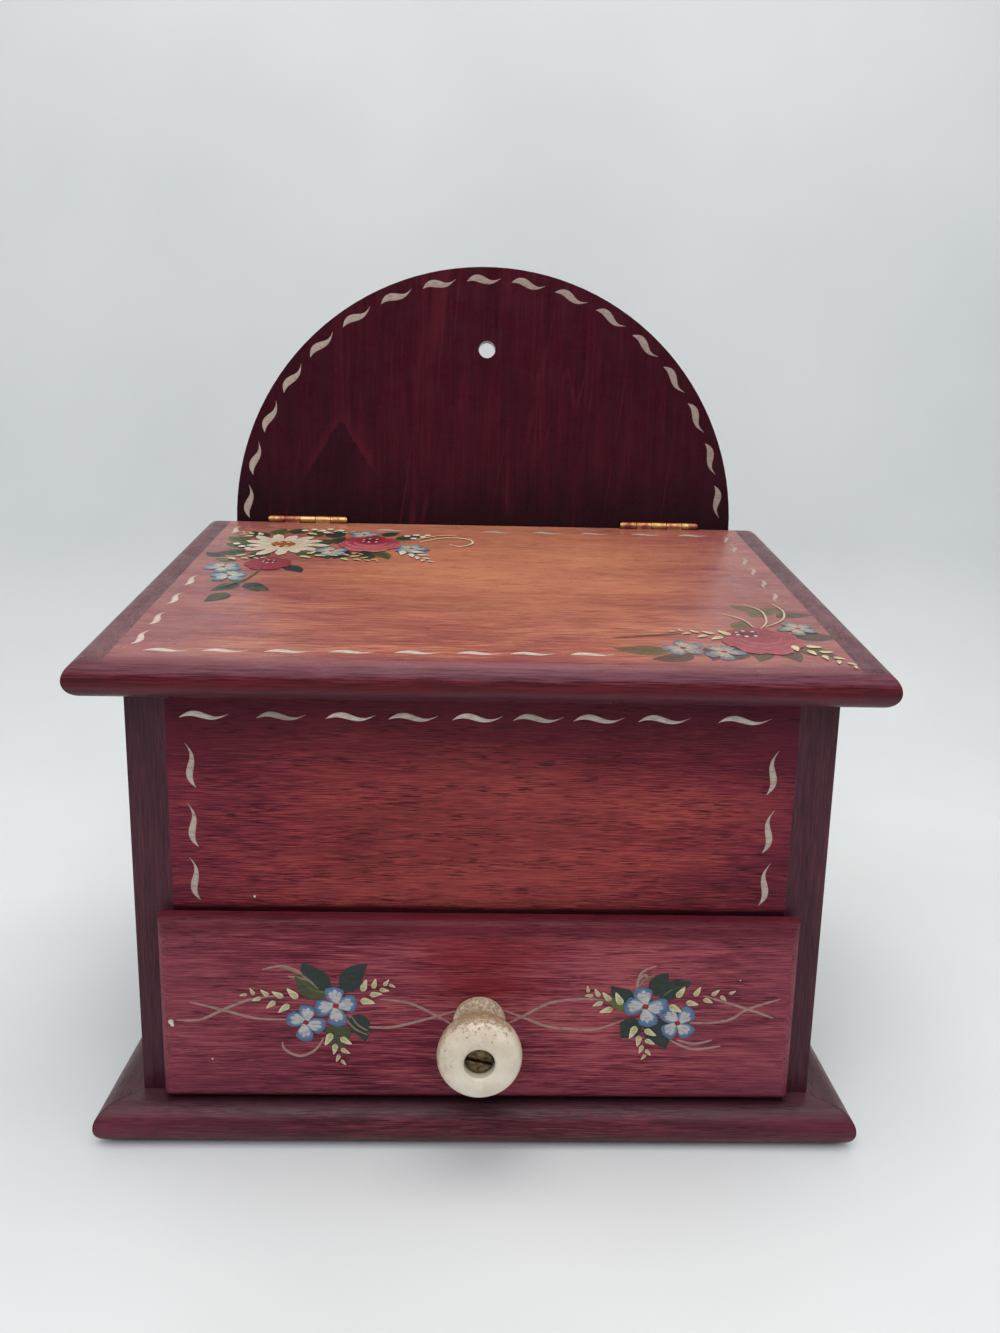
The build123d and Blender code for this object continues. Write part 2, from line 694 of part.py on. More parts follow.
# Right drawer side, the left one mirrored
with BuildPart() as drawer_right_side:
    mirror(drawer_left_side.part, about=Plane.YZ)
drawer_right_side.part.label = "drawer_right_side"
export_step(drawer_right_side.part, "parts/drawer_right_side.step")

# Drawer back, standing on the drawer bottom between the sides
with BuildPart() as drawer_back:
    with BuildSketch(Plane.XY.offset(drawer_panel_z + drawer_panel_thickness)):
        with Locations((0, drawer_back_mid_y)):
            Rectangle(2 * half_drawer_inside, drawer_side_thickness)
    extrude(amount=drawer_top - drawer_back_drop - drawer_panel_z - drawer_panel_thickness)
    for side in (-1, 1):
        with BuildSketch(Plane.YZ.offset(side * half_drawer_inside)):
            with Locations([(drawer_back_mid_y, z) for z in drawer_nail_heights]):
                Circle(nail_radius)
        extrude(amount=-side * (drawer_nail_length - drawer_side_thickness), mode=Mode.SUBTRACT)
drawer_back.part.label = "drawer_back"
export_step(drawer_back.part, "parts/drawer_back.step")

# Drawer bottom, a thin panel in the grooves
with BuildPart() as drawer_bottom:
    with BuildSketch(Plane.XY.offset(drawer_panel_z)):
        with Locations((0, (drawer_panel_front_y + drawer_end_y) / 2)):
            Rectangle(2 * half_drawer_inside, drawer_end_y - drawer_panel_front_y)
            Rectangle(
                2 * (half_drawer_inside + drawer_groove),
                drawer_end_y - drawer_block_back_y - drawer_groove,
            )
    extrude(amount=drawer_panel_thickness)
drawer_bottom.part.label = "drawer_bottom"
export_step(drawer_bottom.part, "parts/drawer_bottom.step")

# Nails through the drawer sides into the block and the drawer back
with BuildPart() as drawer_nails:
    for side in (-1, 1):
        with BuildSketch(Plane.YZ.offset(side * half_drawer)):
            with Locations(drawer_nail_places):
                Circle(nail_radius)
        extrude(amount=-side * drawer_nail_length)
        with BuildSketch(Plane.YZ.offset(side * half_drawer)):
            with Locations(drawer_nail_places):
                Circle(nail_head_radius)
        extrude(amount=-side * nail_head_height)
drawer_nails.part.label = "drawer_nails"
export_step(drawer_nails.part, "parts/drawer_nails.step")

# Turned knob with a mouth for the bolt head
with BuildPart() as drawer_knob:
    with BuildSketch(Plane.YZ):
        with BuildLine():
            Polyline(
                (drawer_face_y - knob_length + knob_seat_depth, knob_z + bolt_radius + bolt_hole_clearance),
                (drawer_face_y, knob_z + bolt_radius + bolt_hole_clearance),
                (drawer_face_y, knob_z + knob_base_radius - knob_base_edge),
                (drawer_face_y - knob_base_edge, knob_z + knob_base_radius),
                (drawer_face_y - knob_base_thickness, knob_z + knob_base_radius),
            )
            Spline(
                (drawer_face_y - knob_base_thickness, knob_z + knob_base_radius),
                (drawer_face_y - 0.25 * knob_length, knob_z + knob_neck_radius),
                (drawer_face_y - 0.43 * knob_length, knob_z + 0.71 * knob_radius),
                (drawer_face_y - 0.62 * knob_length, knob_z + 0.92 * knob_radius),
                (drawer_face_y - 0.79 * knob_length, knob_z + knob_radius),
                (drawer_face_y - 0.92 * knob_length, knob_z + 0.93 * knob_radius),
                (drawer_face_y - 0.98 * knob_length, knob_z + 0.78 * knob_radius),
                (drawer_face_y - knob_length, knob_z + knob_mouth_radius + knob_mouth_bevel),
            )
            Polyline(
                (drawer_face_y - knob_length, knob_z + knob_mouth_radius + knob_mouth_bevel),
                (drawer_face_y - knob_length + knob_mouth_bevel, knob_z + knob_mouth_radius),
                (drawer_face_y - knob_length + knob_seat_depth, knob_z + knob_mouth_radius),
                (drawer_face_y - knob_length + knob_seat_depth, knob_z + bolt_radius + bolt_hole_clearance),
            )
        make_face()
    revolve(axis=knob_axis)
drawer_knob.part.label = "drawer_knob"
export_step(drawer_knob.part, "parts/drawer_knob.step")

# Slotted bolt through the knob and the drawer front
with BuildPart() as knob_bolt:
    with BuildSketch(Plane.XZ.offset(-drawer_face_y + knob_length - knob_seat_depth)):
        with Locations((0, knob_z)):
            Circle(bolt_head_radius)
    extrude(amount=bolt_head_height)
    fillet(knob_bolt.edges().filter_by(GeomType.CIRCLE).sort_by(Axis.Y)[0], bolt_head_height * 0.45)
    with BuildSketch(Plane.XZ.offset(-drawer_face_y + knob_length - knob_seat_depth)):
        with Locations((0, knob_z)):
            Circle(bolt_radius)
    extrude(
        amount=-(
            knob_length
            - knob_seat_depth
            + drawer_lip_thickness
            + drawer_block_thickness
            + washer_thickness
            + nut_thickness
            + bolt_end
        )
    )
    with BuildSketch(Plane.XZ.offset(-drawer_face_y + knob_length - knob_seat_depth + bolt_head_height)):
        with Locations((0, knob_z)):
            Rectangle(2 * bolt_head_radius, bolt_slot_width, rotation=bolt_slot_tilt)
    extrude(amount=-bolt_slot_depth, mode=Mode.SUBTRACT)
knob_bolt.part.label = "knob_bolt"
export_step(knob_bolt.part, "parts/knob_bolt.step")

# Washer inside the drawer
with BuildPart() as knob_washer:
    with BuildSketch(Plane.XZ.offset(-drawer_block_back_y)):
        with Locations((0, knob_z)):
            Circle(washer_radius)
            Circle(bolt_radius + bolt_hole_clearance, mode=Mode.SUBTRACT)
    extrude(amount=-washer_thickness)
knob_washer.part.label = "knob_washer"
export_step(knob_washer.part, "parts/knob_washer.step")

# Square nut inside the drawer
with BuildPart() as knob_nut:
    with BuildSketch(Plane.XZ.offset(-drawer_block_back_y - washer_thickness)):
        with Locations((0, knob_z)):
            Rectangle(nut_width, nut_width)
            Circle(bolt_radius, mode=Mode.SUBTRACT)
    extrude(amount=-nut_thickness)
knob_nut.part.label = "knob_nut"
export_step(knob_nut.part, "parts/knob_nut.step")
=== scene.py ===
from math import cos, pi, radians, sin, sqrt

import bmesh
import bpy
from mathutils import Matrix, Vector


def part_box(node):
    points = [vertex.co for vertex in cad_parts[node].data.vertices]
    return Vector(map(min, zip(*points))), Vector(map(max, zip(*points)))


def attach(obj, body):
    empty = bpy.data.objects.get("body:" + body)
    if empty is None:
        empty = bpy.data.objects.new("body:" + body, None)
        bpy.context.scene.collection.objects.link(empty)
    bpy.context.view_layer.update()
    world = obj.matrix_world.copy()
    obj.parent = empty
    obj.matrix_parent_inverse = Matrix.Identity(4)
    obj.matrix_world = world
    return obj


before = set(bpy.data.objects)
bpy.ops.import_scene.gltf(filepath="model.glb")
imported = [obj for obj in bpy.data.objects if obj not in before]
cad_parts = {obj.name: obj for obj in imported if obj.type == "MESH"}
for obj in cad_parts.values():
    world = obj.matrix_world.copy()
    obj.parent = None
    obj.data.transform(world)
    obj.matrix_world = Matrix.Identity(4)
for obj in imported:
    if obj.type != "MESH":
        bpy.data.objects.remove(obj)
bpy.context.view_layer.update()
scene = bpy.context.scene
scene.view_settings.view_transform = "Standard"
MM = 0.001


# Camera, in front of the box and a little above it
VIEW_WIDTH = 1000
FOCAL_LENGTH_IN_PIXELS = 1066.7
SENSOR_WIDTH = 36.0
CAMERA_PLACE = Vector((-3.46, -421.17, 232.8)) * MM
CAMERA_YAW = radians(-1.403)
CAMERA_PITCH = radians(11.931)
CAMERA_ROLL = radians(1.182)

camera_data = bpy.data.cameras.new("camera")
camera_data.sensor_fit = "HORIZONTAL"
camera_data.sensor_width = SENSOR_WIDTH
camera_data.lens = SENSOR_WIDTH * FOCAL_LENGTH_IN_PIXELS / VIEW_WIDTH
camera_data.clip_start = 0.01
camera = bpy.data.objects.new("camera", camera_data)
scene.collection.objects.link(camera)
scene.camera = camera
turn = Matrix.Rotation(CAMERA_YAW, 4, "Z") @ Matrix.Rotation(pi / 2 - CAMERA_PITCH, 4, "X")
camera.matrix_world = Matrix.Translation(CAMERA_PLACE) @ turn @ Matrix.Rotation(CAMERA_ROLL, 4, "Z")


# Colours
def linear(hex_colour):
    """An sRGB hex colour as linear red, green, blue and alpha."""
    parts = [int(hex_colour[i:i + 2], 16) / 255 for i in (1, 3, 5)]
    return tuple(c / 12.92 if c <= 0.04045 else ((c + 0.055) / 1.055) ** 2.4 for c in parts) + (1.0,)


def between(first, second, share):
    """A colour part of the way from one to another."""
    return [a + (b - a) * share for a, b in zip(first, second)]


# Nodes, and two settings that many of them share
SMOOTH = {"interpolation_type": "SMOOTHSTEP"}
COLOUR = {"data_type": "RGBA"}


def add(tree, kind, inputs=None, output=0, stops=(), **settings):
    """Adds a node with its settings, sets or links its inputs, and gives back one of its outputs, or the
    node itself where output is None. stops are the places and hex colours along a colour ramp."""
    node = tree.nodes.new("ShaderNode" + kind)
    for name, value in settings.items():
        setattr(node, name, value)
    for name, value in (inputs or {}).items():
        if isinstance(value, bpy.types.NodeSocket):
            tree.links.new(value, node.inputs[name])
        else:
            node.inputs[name].default_value = value
    if stops:
        elements = node.color_ramp.elements
        while len(elements) < len(stops):
            elements.new(0.5)
        for element, (place, colour) in zip(elements, stops):
            element.position = place
            element.color = linear(colour)
    return node if output is None else node.outputs[output]


def mottled(tree, place, size, detail=4.0, stretch=(1, 1, 1), roughness=0.55, distortion=0.0,
            shift=(0, 0, 0)):
    """A pattern of soft marks, each so many mm across and stretched along an axis."""
    scale = [1000 / (size * times) for times in stretch]
    moved = add(tree, "Mapping", {"Vector": place, "Scale": scale, "Location": shift})
    return add(tree, "TexNoise", {
        "Vector": moved, "Scale": 1.0, "Detail": detail, "Roughness": roughness, "Distortion": distortion,
    }, "Fac")


def uneven(tree, value, pattern, amount):
    """A value that a pattern moves up and down by up to half the amount."""
    around_zero = add(tree, "Math", {0: pattern, 1: 0.5}, operation="SUBTRACT")
    return add(tree, "Math", {0: around_zero, 1: amount, 2: value}, operation="MULTIPLY_ADD")


def material(name):
    """A new material, its tree of nodes and the object coordinates."""
    made = bpy.data.materials.new(name)
    made.use_nodes = True
    tree = made.node_tree
    tree.nodes.clear()
    return made, tree, add(tree, "TexCoord", output="Object")


def surface(tree, inputs):
    """The end of a material: a principled shader with these inputs as its surface."""
    add(tree, "OutputMaterial", {"Surface": add(tree, "BsdfPrincipled", inputs)}, None)


# The lid falls towards the front
LID_SLOPE = radians(9.2)
LID_UP = Vector((0, cos(LID_SLOPE), sin(LID_SLOPE)))
LID_OUT = Vector((0, -sin(LID_SLOPE), cos(LID_SLOPE)))

# Wood grain in mm: wide bands, streaks, fibres, and pores drawn twice as coarse as real ones, so they show
BAND_WIDTH = 22.0
STREAK_WIDTH = 3.2
FIBRE_WIDTH = 0.42
PORE_WIDTH = 0.28
# How much each gives to the tone
BAND_SHARE = 0.25
STREAK_SHARE = 0.2
FIBRE_SHARE = 0.55
# Blotches of stain, drifts of pores and scuffs in the varnish, in mm
BLOTCH_WIDTH = 45.0
DRIFT_WIDTH = 5.0
SCUFF_WIDTH = 8.0


def pointed_figure(tree, place, colour, tip, dark, light):
    """A pointed figure in the grain, dark inside with a paler rim just outside, and thin pale veins."""
    from_tip = add(tree, "VectorMath", {0: place, 1: (tip[0] * MM, 0, tip[1] * MM)}, operation="SUBTRACT")
    parts = add(tree, "SeparateXYZ", {0: from_tip}, None).outputs
    aside = add(tree, "Math", {0: parts["X"]}, operation="ABSOLUTE")
    below = add(tree, "Math", {0: aside, 1: -1.6}, operation="MULTIPLY")
    below = add(tree, "Math", {0: below, 1: parts["Z"]}, operation="SUBTRACT")
    inside = uneven(tree, below, mottled(tree, place, 7.0, 3.0), 8 * MM)
    narrow = add(tree, "MapRange", {0: aside, 1: 12 * MM, 2: 19 * MM, 3: 1.0, 4: 0.0}, **SMOOTH)
    short = add(tree, "MapRange", {0: parts["Z"], 1: -32 * MM, 2: -20 * MM}, **SMOOTH)
    near = add(tree, "Math", {0: narrow, 1: short}, operation="MULTIPLY")
    rim = add(tree, "MapRange", {0: inside, 1: -9 * MM, 2: -1 * MM}, **SMOOTH)
    rim_end = add(tree, "MapRange", {0: inside, 1: -1 * MM, 2: 0.5 * MM, 3: 0.35, 4: 0.0}, **SMOOTH)
    rim = add(tree, "Math", {0: rim, 1: rim_end}, operation="MULTIPLY")
    rim = add(tree, "Math", {0: rim, 1: near}, operation="MULTIPLY")
    colour = add(tree, "Mix", {0: rim, 6: colour, 7: linear(light)}, 2, **COLOUR)
    core = add(tree, "MapRange", {0: inside, 1: -1 * MM, 2: 1 * MM, 4: 0.5}, **SMOOTH)
    core = add(tree, "Math", {0: core, 1: near}, operation="MULTIPLY")
    colour = add(tree, "Mix", {0: core, 6: colour, 7: linear(dark)}, 2, **COLOUR)
    # The veins lean a little, wavy and broken
    lean = add(tree, "VectorRotate", {"Vector": place, "Angle": radians(-7)}, rotation_type="Y_AXIS")
    vein = mottled(tree, lean, 16.0, 1.0, (1, 1, 14), 0.4)
    line = add(tree, "Math", {0: vein, 1: 0.5}, operation="SUBTRACT")
    line = add(tree, "Math", {0: line}, operation="ABSOLUTE")
    line = add(tree, "MapRange", {0: line, 2: 0.012, 3: 1.0, 4: 0.0}, **SMOOTH)
    broken = mottled(tree, place, 26.0, 2.0, (1, 1, 2))
    broken = add(tree, "MapRange", {0: broken, 1: 0.45, 2: 0.62, 4: 0.5}, **SMOOTH)
    line = add(tree, "Math", {0: line, 1: broken}, operation="MULTIPLY")
    return add(tree, "Mix", {0: line, 6: colour, 7: linear(light)}, 2, **COLOUR)


def rounded_edges_painted_reflections(tree, place, colour, red):
    """Painted reflections and shade on rounded edges, by the way each place faces: a crisp dark red band
    along their middle, mauve above and below it, and painted shade where they face down. Also gives back how
    far each place is rounded."""
    normal = add(tree, "TexCoord", output="Normal")
    facing = add(tree, "VectorMath", {0: normal, 1: tuple(LID_OUT)}, "Value", operation="DOT_PRODUCT")
    lines = mottled(tree, place, FIBRE_WIDTH * 1.4, 4.0, (22, 1, 1), 0.6)
    from_middle = uneven(tree, facing, lines, 0.7)
    from_middle = add(tree, "Math", {0: from_middle, 1: 0.08}, operation="SUBTRACT")
    from_middle = add(tree, "Math", {0: from_middle}, operation="ABSOLUTE")
    middle = add(tree, "MapRange", {0: from_middle, 1: 0.15, 2: 0.5, 3: 1.0, 4: 0.0}, **SMOOTH)
    fine = add(tree, "MapRange", {0: lines, 1: 0.3, 2: 0.65}, **SMOOTH)
    # Painted shade where the rounded edge faces down
    painted_underside_shade = add(tree, "MapRange", {0: facing, 1: -0.1, 2: -0.5, 4: 0.8}, **SMOOTH)
    mauve = add(tree, "Mix", {0: fine, 6: linear("#4e202c"), 7: linear("#743c48")}, 2, **COLOUR)
    mauve = add(tree, "Mix", {0: painted_underside_shade, 6: mauve, 7: linear("#4a1e2a")}, 2, **COLOUR)
    band = add(tree, "Mix", {0: fine, 6: linear("#3a0610"), 7: linear(red)}, 2, **COLOUR)
    edge = add(tree, "Mix", {0: middle, 6: mauve, 7: band}, 2, **COLOUR)
    rounded = add(tree, "MapRange", {0: facing, 1: 0.8, 2: 0.99, 3: 1.0, 4: 0.0}, **SMOOTH)
    return add(tree, "Mix", {0: rounded, 6: colour, 7: edge}, 2, **COLOUR), rounded


# Woods: bands, streaks, fibres and short dark pores along the grain, under satin varnish
def wood(name, grain, dark, middle, light, edge, half_width=114.0, shift=0.0, rough=0.38, coat=0.06,
         specular=0.22, contrast=1.0, pores=0.8, coarse=1.0, glow=None, painted_shades=(), flame=None, dust=None,
         low="#2a0a14", nose=None):
    """One board's wood. edge is the stain gathered towards its ends, low the colour of its pores, nose the
    red along the middle of its rounded edges, which carry painted reflections and shade, glow a worn patch,
    which on the lid is mostly a painted sheen: its colour, centre, radius in mm and strength. Each painted
    shade is a colour, an axis, where it starts and is full along it, and its strength. flame is the tip of a
    pointed figure, dust the colour that lies on level faces."""
    made, tree, place = material(name)
    axes = add(tree, "SeparateXYZ", {0: place}, None).outputs
    moves = (shift, shift * 0.7, shift * 1.3)

    def along(times):
        """A stretch of so many times along the grain."""
        return [times if axis == grain else 1 for axis in "XYZ"]

    bands = mottled(tree, place, BAND_WIDTH, 2.0, along(4), 0.5, 0.8, moves)
    streak = mottled(tree, place, STREAK_WIDTH * coarse, 4.0, along(14), 0.6, 0.3, moves)
    fibre = mottled(tree, place, FIBRE_WIDTH * coarse, 3.0, along(28), 0.65, 0.1, moves)
    blotch = mottled(tree, place, BLOTCH_WIDTH, 3.0, shift=moves)
    tone = add(tree, "Math", {0: bands, 1: BAND_SHARE}, operation="MULTIPLY")
    tone = add(tree, "Math", {0: streak, 1: STREAK_SHARE, 2: tone}, operation="MULTIPLY_ADD")
    tone = add(tree, "Math", {0: fibre, 1: FIBRE_SHARE, 2: tone}, operation="MULTIPLY_ADD")
    spread = 0.08 / contrast
    stops = ((0.5 - spread, dark), (0.5, middle), (0.5 + spread, light))
    colour = add(tree, "ValToRGB", {0: tone}, stops=stops)
    # Stain gathered towards the ends of the board
    across = add(tree, "Math", {0: axes["X"]}, operation="ABSOLUTE")
    across = uneven(tree, across, blotch, 70 * MM)
    half = half_width * MM
    ends = add(tree, "MapRange", {0: across, 1: half * 0.35, 2: half * 1.05, 4: 0.55}, **SMOOTH)
    colour = add(tree, "Mix", {0: ends, 6: colour, 7: linear(edge)}, 2, **COLOUR)
    # The worn patch; on the lid it is mostly a painted sheen
    if glow:
        glow_colour, centre, radius, strength = glow
        centre = [c * MM for c in centre]
        away = add(tree, "VectorMath", {0: place, 1: centre}, "Value", operation="DISTANCE")
        away = uneven(tree, away, streak, radius * 1.6 * MM)
        worn = {0: away, 1: radius * 0.2 * MM, 2: radius * MM, 3: strength, 4: 0.0}
        worn = add(tree, "MapRange", worn, **SMOOTH)
        colour = add(tree, "Mix", {0: worn, 6: colour, 7: linear(glow_colour)}, 2, **COLOUR)
    # Painted shade: each band darkens the board along an axis
    for shade, axis, start, full, strength in painted_shades:
        reach = uneven(tree, axes[axis], streak, (full - start) * 1.2 * MM)
        painted_shade_share = add(tree, "MapRange", {0: reach, 1: start * MM, 2: full * MM, 4: strength}, **SMOOTH)
        colour = add(tree, "Mix", {0: painted_shade_share, 6: colour, 7: linear(shade)}, 2, **COLOUR)
    if flame:
        colour = pointed_figure(tree, place, colour, flame, dark, light)
    if dust:
        normal = add(tree, "TexCoord", output="Normal")
        level = add(tree, "SeparateXYZ", {0: normal}, "Z")
        lying = uneven(tree, level, blotch, 0.9)
        lying = add(tree, "MapRange", {0: lying, 1: 0.45, 4: 0.75}, **SMOOTH)
        colour = add(tree, "Mix", {0: lying, 6: colour, 7: linear(dust)}, 2, **COLOUR)
    # Pores, short dark lines in drifts
    pore = mottled(tree, place, PORE_WIDTH * coarse, 2.0, along(26), 0.5, 0.0, moves)
    pore = add(tree, "MapRange", {0: pore, 1: 0.53, 2: 0.6}, **SMOOTH)
    drift = mottled(tree, place, DRIFT_WIDTH, 4.0, along(5), shift=moves)
    drift = add(tree, "MapRange", {0: drift, 1: 0.4, 2: 0.6, 3: 0.25}, **SMOOTH)
    pore = add(tree, "Math", {0: pore, 1: drift}, operation="MULTIPLY")
    seen = add(tree, "Math", {0: pore, 1: pores}, operation="MULTIPLY")
    colour = add(tree, "Mix", {0: seen, 6: colour, 7: linear(low)}, 2, **COLOUR)
    if nose:
        # Painted reflections and shade on the rounded edges, by the way they face, and the varnish coat thins
        # to nothing on them
        colour, rounded = rounded_edges_painted_reflections(tree, place, colour, nose)
        coat = add(tree, "MapRange", {0: rounded, 3: coat, 4: 0.0}, **SMOOTH)
    scuff = mottled(tree, place, SCUFF_WIDTH, 6.0, roughness=0.65)
    height = add(tree, "Math", {0: fibre, 1: 0.5}, operation="MULTIPLY")
    height = add(tree, "Math", {0: height, 1: pore}, operation="SUBTRACT")
    surface(tree, {
        "Base Color": colour,
        "Roughness": add(tree, "MapRange", {0: scuff, 1: 0.3, 2: 0.7, 3: rough - 0.08, 4: rough + 0.1},
                         **SMOOTH),
        "Specular IOR Level": specular,
        "Coat Weight": coat,
        "Coat Roughness": 0.2,
        "Normal": add(tree, "Bump", {"Height": height, "Distance": 0.1 * MM, "Strength": 0.5}),
    })
    return made


# Stained front board: left-right grain, warm middle, purple ends, with painted shade: the lid's shadow across
# its top, a near-black line in the gap above the drawer, and darker towards the right end
front_wood = wood(
    "front_stained_wood", "X", "#4e1320", "#802a35", "#a44740", "#5e1c36", shift=1.7, pores=0.85,
    specular=0.12, coat=0.03, glow=("#9c4640", (0, -90, 104), 85, 0.4),
    painted_shades=(("#500e22", "Z", 118, 146, 0.85), ("#581c2c", "X", 78, 108, 0.35), ("#1c0509", "Z", 82, 80, 0.9)))
# Drawer front: the same stain, a little pinker, with painted shade on its rounded top edge, darker towards
# the bottom, and a painted shadow line along its bottom edge
drawer_wood = wood(
    "drawer_stained_wood", "X", "#581729", "#863645", "#a45356", "#864250", shift=5.2, pores=0.75,
    specular=0.12, coat=0.03, glow=("#862428", (0, -99, 72), 34, 0.5),
    painted_shades=(("#5c1c28", "Z", 70, 78, 0.8), ("#5a1c34", "Z", 28, 18, 0.5), ("#1c0509", "Z", 17.4, 15.8, 0.9)))
# Side boards: dark, upright grain
side_wood = wood(
    "side_stained_wood", "Z", "#341420", "#471e2b", "#592b38", "#41202f", half_width=400, shift=9.1,
    contrast=0.6, pores=0.5)
# Back board: the darkest, upright grain, smooth and thinly varnished, and darker towards the bottom in a
# painted shadow of the lid
back_wood = wood(
    "back_stained_wood", "Z", "#220410", "#42091a", "#601a26", "#2c0513", shift=3.3, rough=0.3,
    specular=0.15, coat=0.05, pores=0.1, contrast=0.26, coarse=3.5, low="#1c020a", flame=(-66, 241),
    painted_shades=(("#1e0008", "Z", 228, 194, 0.85),))
# Lid board: left-right grain, paler and more orange on top in a painted sheen, partly wear too, darker along
# its front in painted shade, and with painted reflections on its rounded edges
lid_wood = wood(
    "lid_stained_wood", "X", "#763a36", "#a2584c", "#c0805e", "#7e4450", shift=7.4, rough=0.34, coat=0.2,
    contrast=0.9, pores=0.5, low="#64302c", nose="#64101e", glow=("#cc8662", (10, 18, 186), 110, 0.55),
    painted_shades=(("#743c48", "Y", -92, -102, 0.85),))
# Lid end strips: front-back grain, greyer, with painted reflections on their rounded edges
strip_wood = wood(
    "lid_strip_stained_wood", "Y", "#4a2830", "#60393f", "#76494e", "#5c3742", half_width=500, shift=11.0,
    rough=0.4, nose="#5c101e")
# Plinth mouldings: dark, grain along each length
plinth_wood = wood(
    "plinth_stained_wood", "X", "#3c0f1b", "#5e202c", "#783440", "#5c2434", shift=13.0, dust="#4c3238")
plinth_side_wood = wood(
    "plinth_side_stained_wood", "Y", "#3c0f1b", "#5e202c", "#783440", "#5c2434", half_width=500,
    shift=15.0, dust="#4c3238")
# Bare wood inside: pale, dull and unvarnished
inner_wood = wood(
    "bare_inner_wood", "X", "#8a6440", "#a87f55", "#bf9a6c", "#94704a", shift=17.0, rough=0.7, coat=0.0,
    contrast=0.6, pores=0.3, low="#6b4a2c")
inner_side_wood = wood(
    "bare_inner_side_wood", "Y", "#8a6440", "#a87f55", "#bf9a6c", "#94704a", half_width=500, shift=19.0,
    rough=0.7, coat=0.0, contrast=0.6, pores=0.3, low="#6b4a2c")


def brass():
    """Rolled brass, tarnished to a pinkish brown from knuckle to knuckle."""
    made, tree, place = material("tarnished_brass")
    patch = mottled(tree, place, 2.0, 4.0)
    knuckle = mottled(tree, place, 7.0, 0.0, (1, 40, 40))
    tarnish = add(tree, "Math", {0: patch, 1: 0.4}, operation="MULTIPLY")
    tarnish = add(tree, "Math", {0: knuckle, 1: 0.6, 2: tarnish}, operation="MULTIPLY_ADD")
    stops = ((0.4, "#84423c"), (0.5, "#a96f4c"), (0.6, "#c69d66"))
    surface(tree, {
        "Base Color": add(tree, "ValToRGB", {0: tarnish}, stops=stops),
        "Metallic": 1.0,
        "Roughness": add(tree, "MapRange", {0: patch, 1: 0.3, 2: 0.7, 3: 0.5, 4: 0.32}, **SMOOTH),
        "Normal": add(tree, "Bump", {"Height": mottled(tree, place, 0.5, 3.0), "Distance": 0.03 * MM}),
    })
    return made


def steel(name, colour_low, colour_high):
    """Dull steel with brown specks."""
    made, tree, place = material(name)
    patch = mottled(tree, place, 1.6, 5.0)
    surface(tree, {
        "Base Color": add(tree, "ValToRGB", {0: patch}, stops=((0.35, colour_low), (0.65, colour_high))),
        "Metallic": 0.9,
        "Roughness": add(tree, "MapRange", {0: patch, 1: 0.3, 2: 0.7, 3: 0.6, 4: 0.38}, **SMOOTH),
        "Normal": add(tree, "Bump", {"Height": patch, "Distance": 0.05 * MM}),
    })
    return made


def glaze():
    """Old cream glaze, smooth and bright in front, stained and flaked on its top, left and neck."""
    made, tree, place = material("worn_cream_glaze")
    stops = ((0.3, "#d0bfa8"), (0.55, "#e0d3c0"), (0.75, "#e8dfd0"))
    base = add(tree, "ValToRGB", {0: mottled(tree, place, 9.0, 4.0)}, stops=stops)
    # How far each place lies open to hands and dirt
    axes = add(tree, "SeparateXYZ", {0: place}, None).outputs
    axis = (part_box("drawer_knob")[0][2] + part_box("drawer_knob")[1][2]) / 2
    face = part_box("drawer_knob")[0][1]
    upper = add(tree, "MapRange", {0: axes["Z"], 1: axis + 5 * MM, 2: axis + 12 * MM}, **SMOOTH)
    left = add(tree, "MapRange", {0: axes["X"], 1: -6 * MM, 2: -12 * MM, 4: 0.9}, **SMOOTH)
    right = add(tree, "MapRange", {0: axes["X"], 1: 8 * MM, 2: 14 * MM, 4: 0.5}, **SMOOTH)
    behind = add(tree, "MapRange", {0: axes["Y"], 1: face + 1 * MM, 2: face + 7 * MM, 3: 0.45}, **SMOOTH)
    neck = add(tree, "MapRange", {0: axes["Y"], 1: face + 11 * MM, 2: face + 16 * MM, 4: 0.7}, **SMOOTH)
    sides = add(tree, "Math", {0: right, 1: upper}, operation="MULTIPLY")
    sides = add(tree, "Math", {0: left, 1: sides}, operation="MAXIMUM")
    open_to_dirt = add(tree, "Math", {0: upper, 1: sides}, operation="MAXIMUM")
    open_to_dirt = add(tree, "Math", {0: open_to_dirt, 1: behind}, operation="MULTIPLY")
    open_to_dirt = add(tree, "Math", {0: open_to_dirt, 1: neck}, operation="MAXIMUM")
    # Brown stain in patches, and flakes where the glaze has gone
    patchy = mottled(tree, place, 3.0, 5.0, roughness=0.65)
    patchy = add(tree, "MapRange", {0: patchy, 1: 0.4, 2: 0.6, 3: 0.35}, **SMOOTH)
    stained = add(tree, "Math", {0: open_to_dirt, 1: patchy}, operation="MULTIPLY")
    colour = add(tree, "Mix", {0: stained, 6: base, 7: linear("#c2a580")}, 2, **COLOUR)
    speck = mottled(tree, place, 1.1, 6.0, roughness=0.75)
    flake = add(tree, "Math", {0: open_to_dirt, 1: 0.21, 2: speck}, operation="MULTIPLY_ADD")
    flake = add(tree, "MapRange", {0: flake, 1: 0.63, 2: 0.73}, **SMOOTH)
    bare = add(tree, "Math", {0: flake, 1: 0.6}, operation="MULTIPLY")
    colour = add(tree, "Mix", {0: bare, 6: colour, 7: linear("#8a6a48")}, 2, **COLOUR)
    height = add(tree, "Math", {0: 1.0, 1: flake}, operation="SUBTRACT")
    surface(tree, {
        "Base Color": colour,
        "Roughness": add(tree, "MapRange", {0: flake, 3: 0.28, 4: 0.6}, **SMOOTH),
        "Coat Weight": 0.2,
        "Coat Roughness": 0.15,
        "Normal": add(tree, "Bump", {"Height": height, "Distance": 0.12 * MM}),
    })
    return made


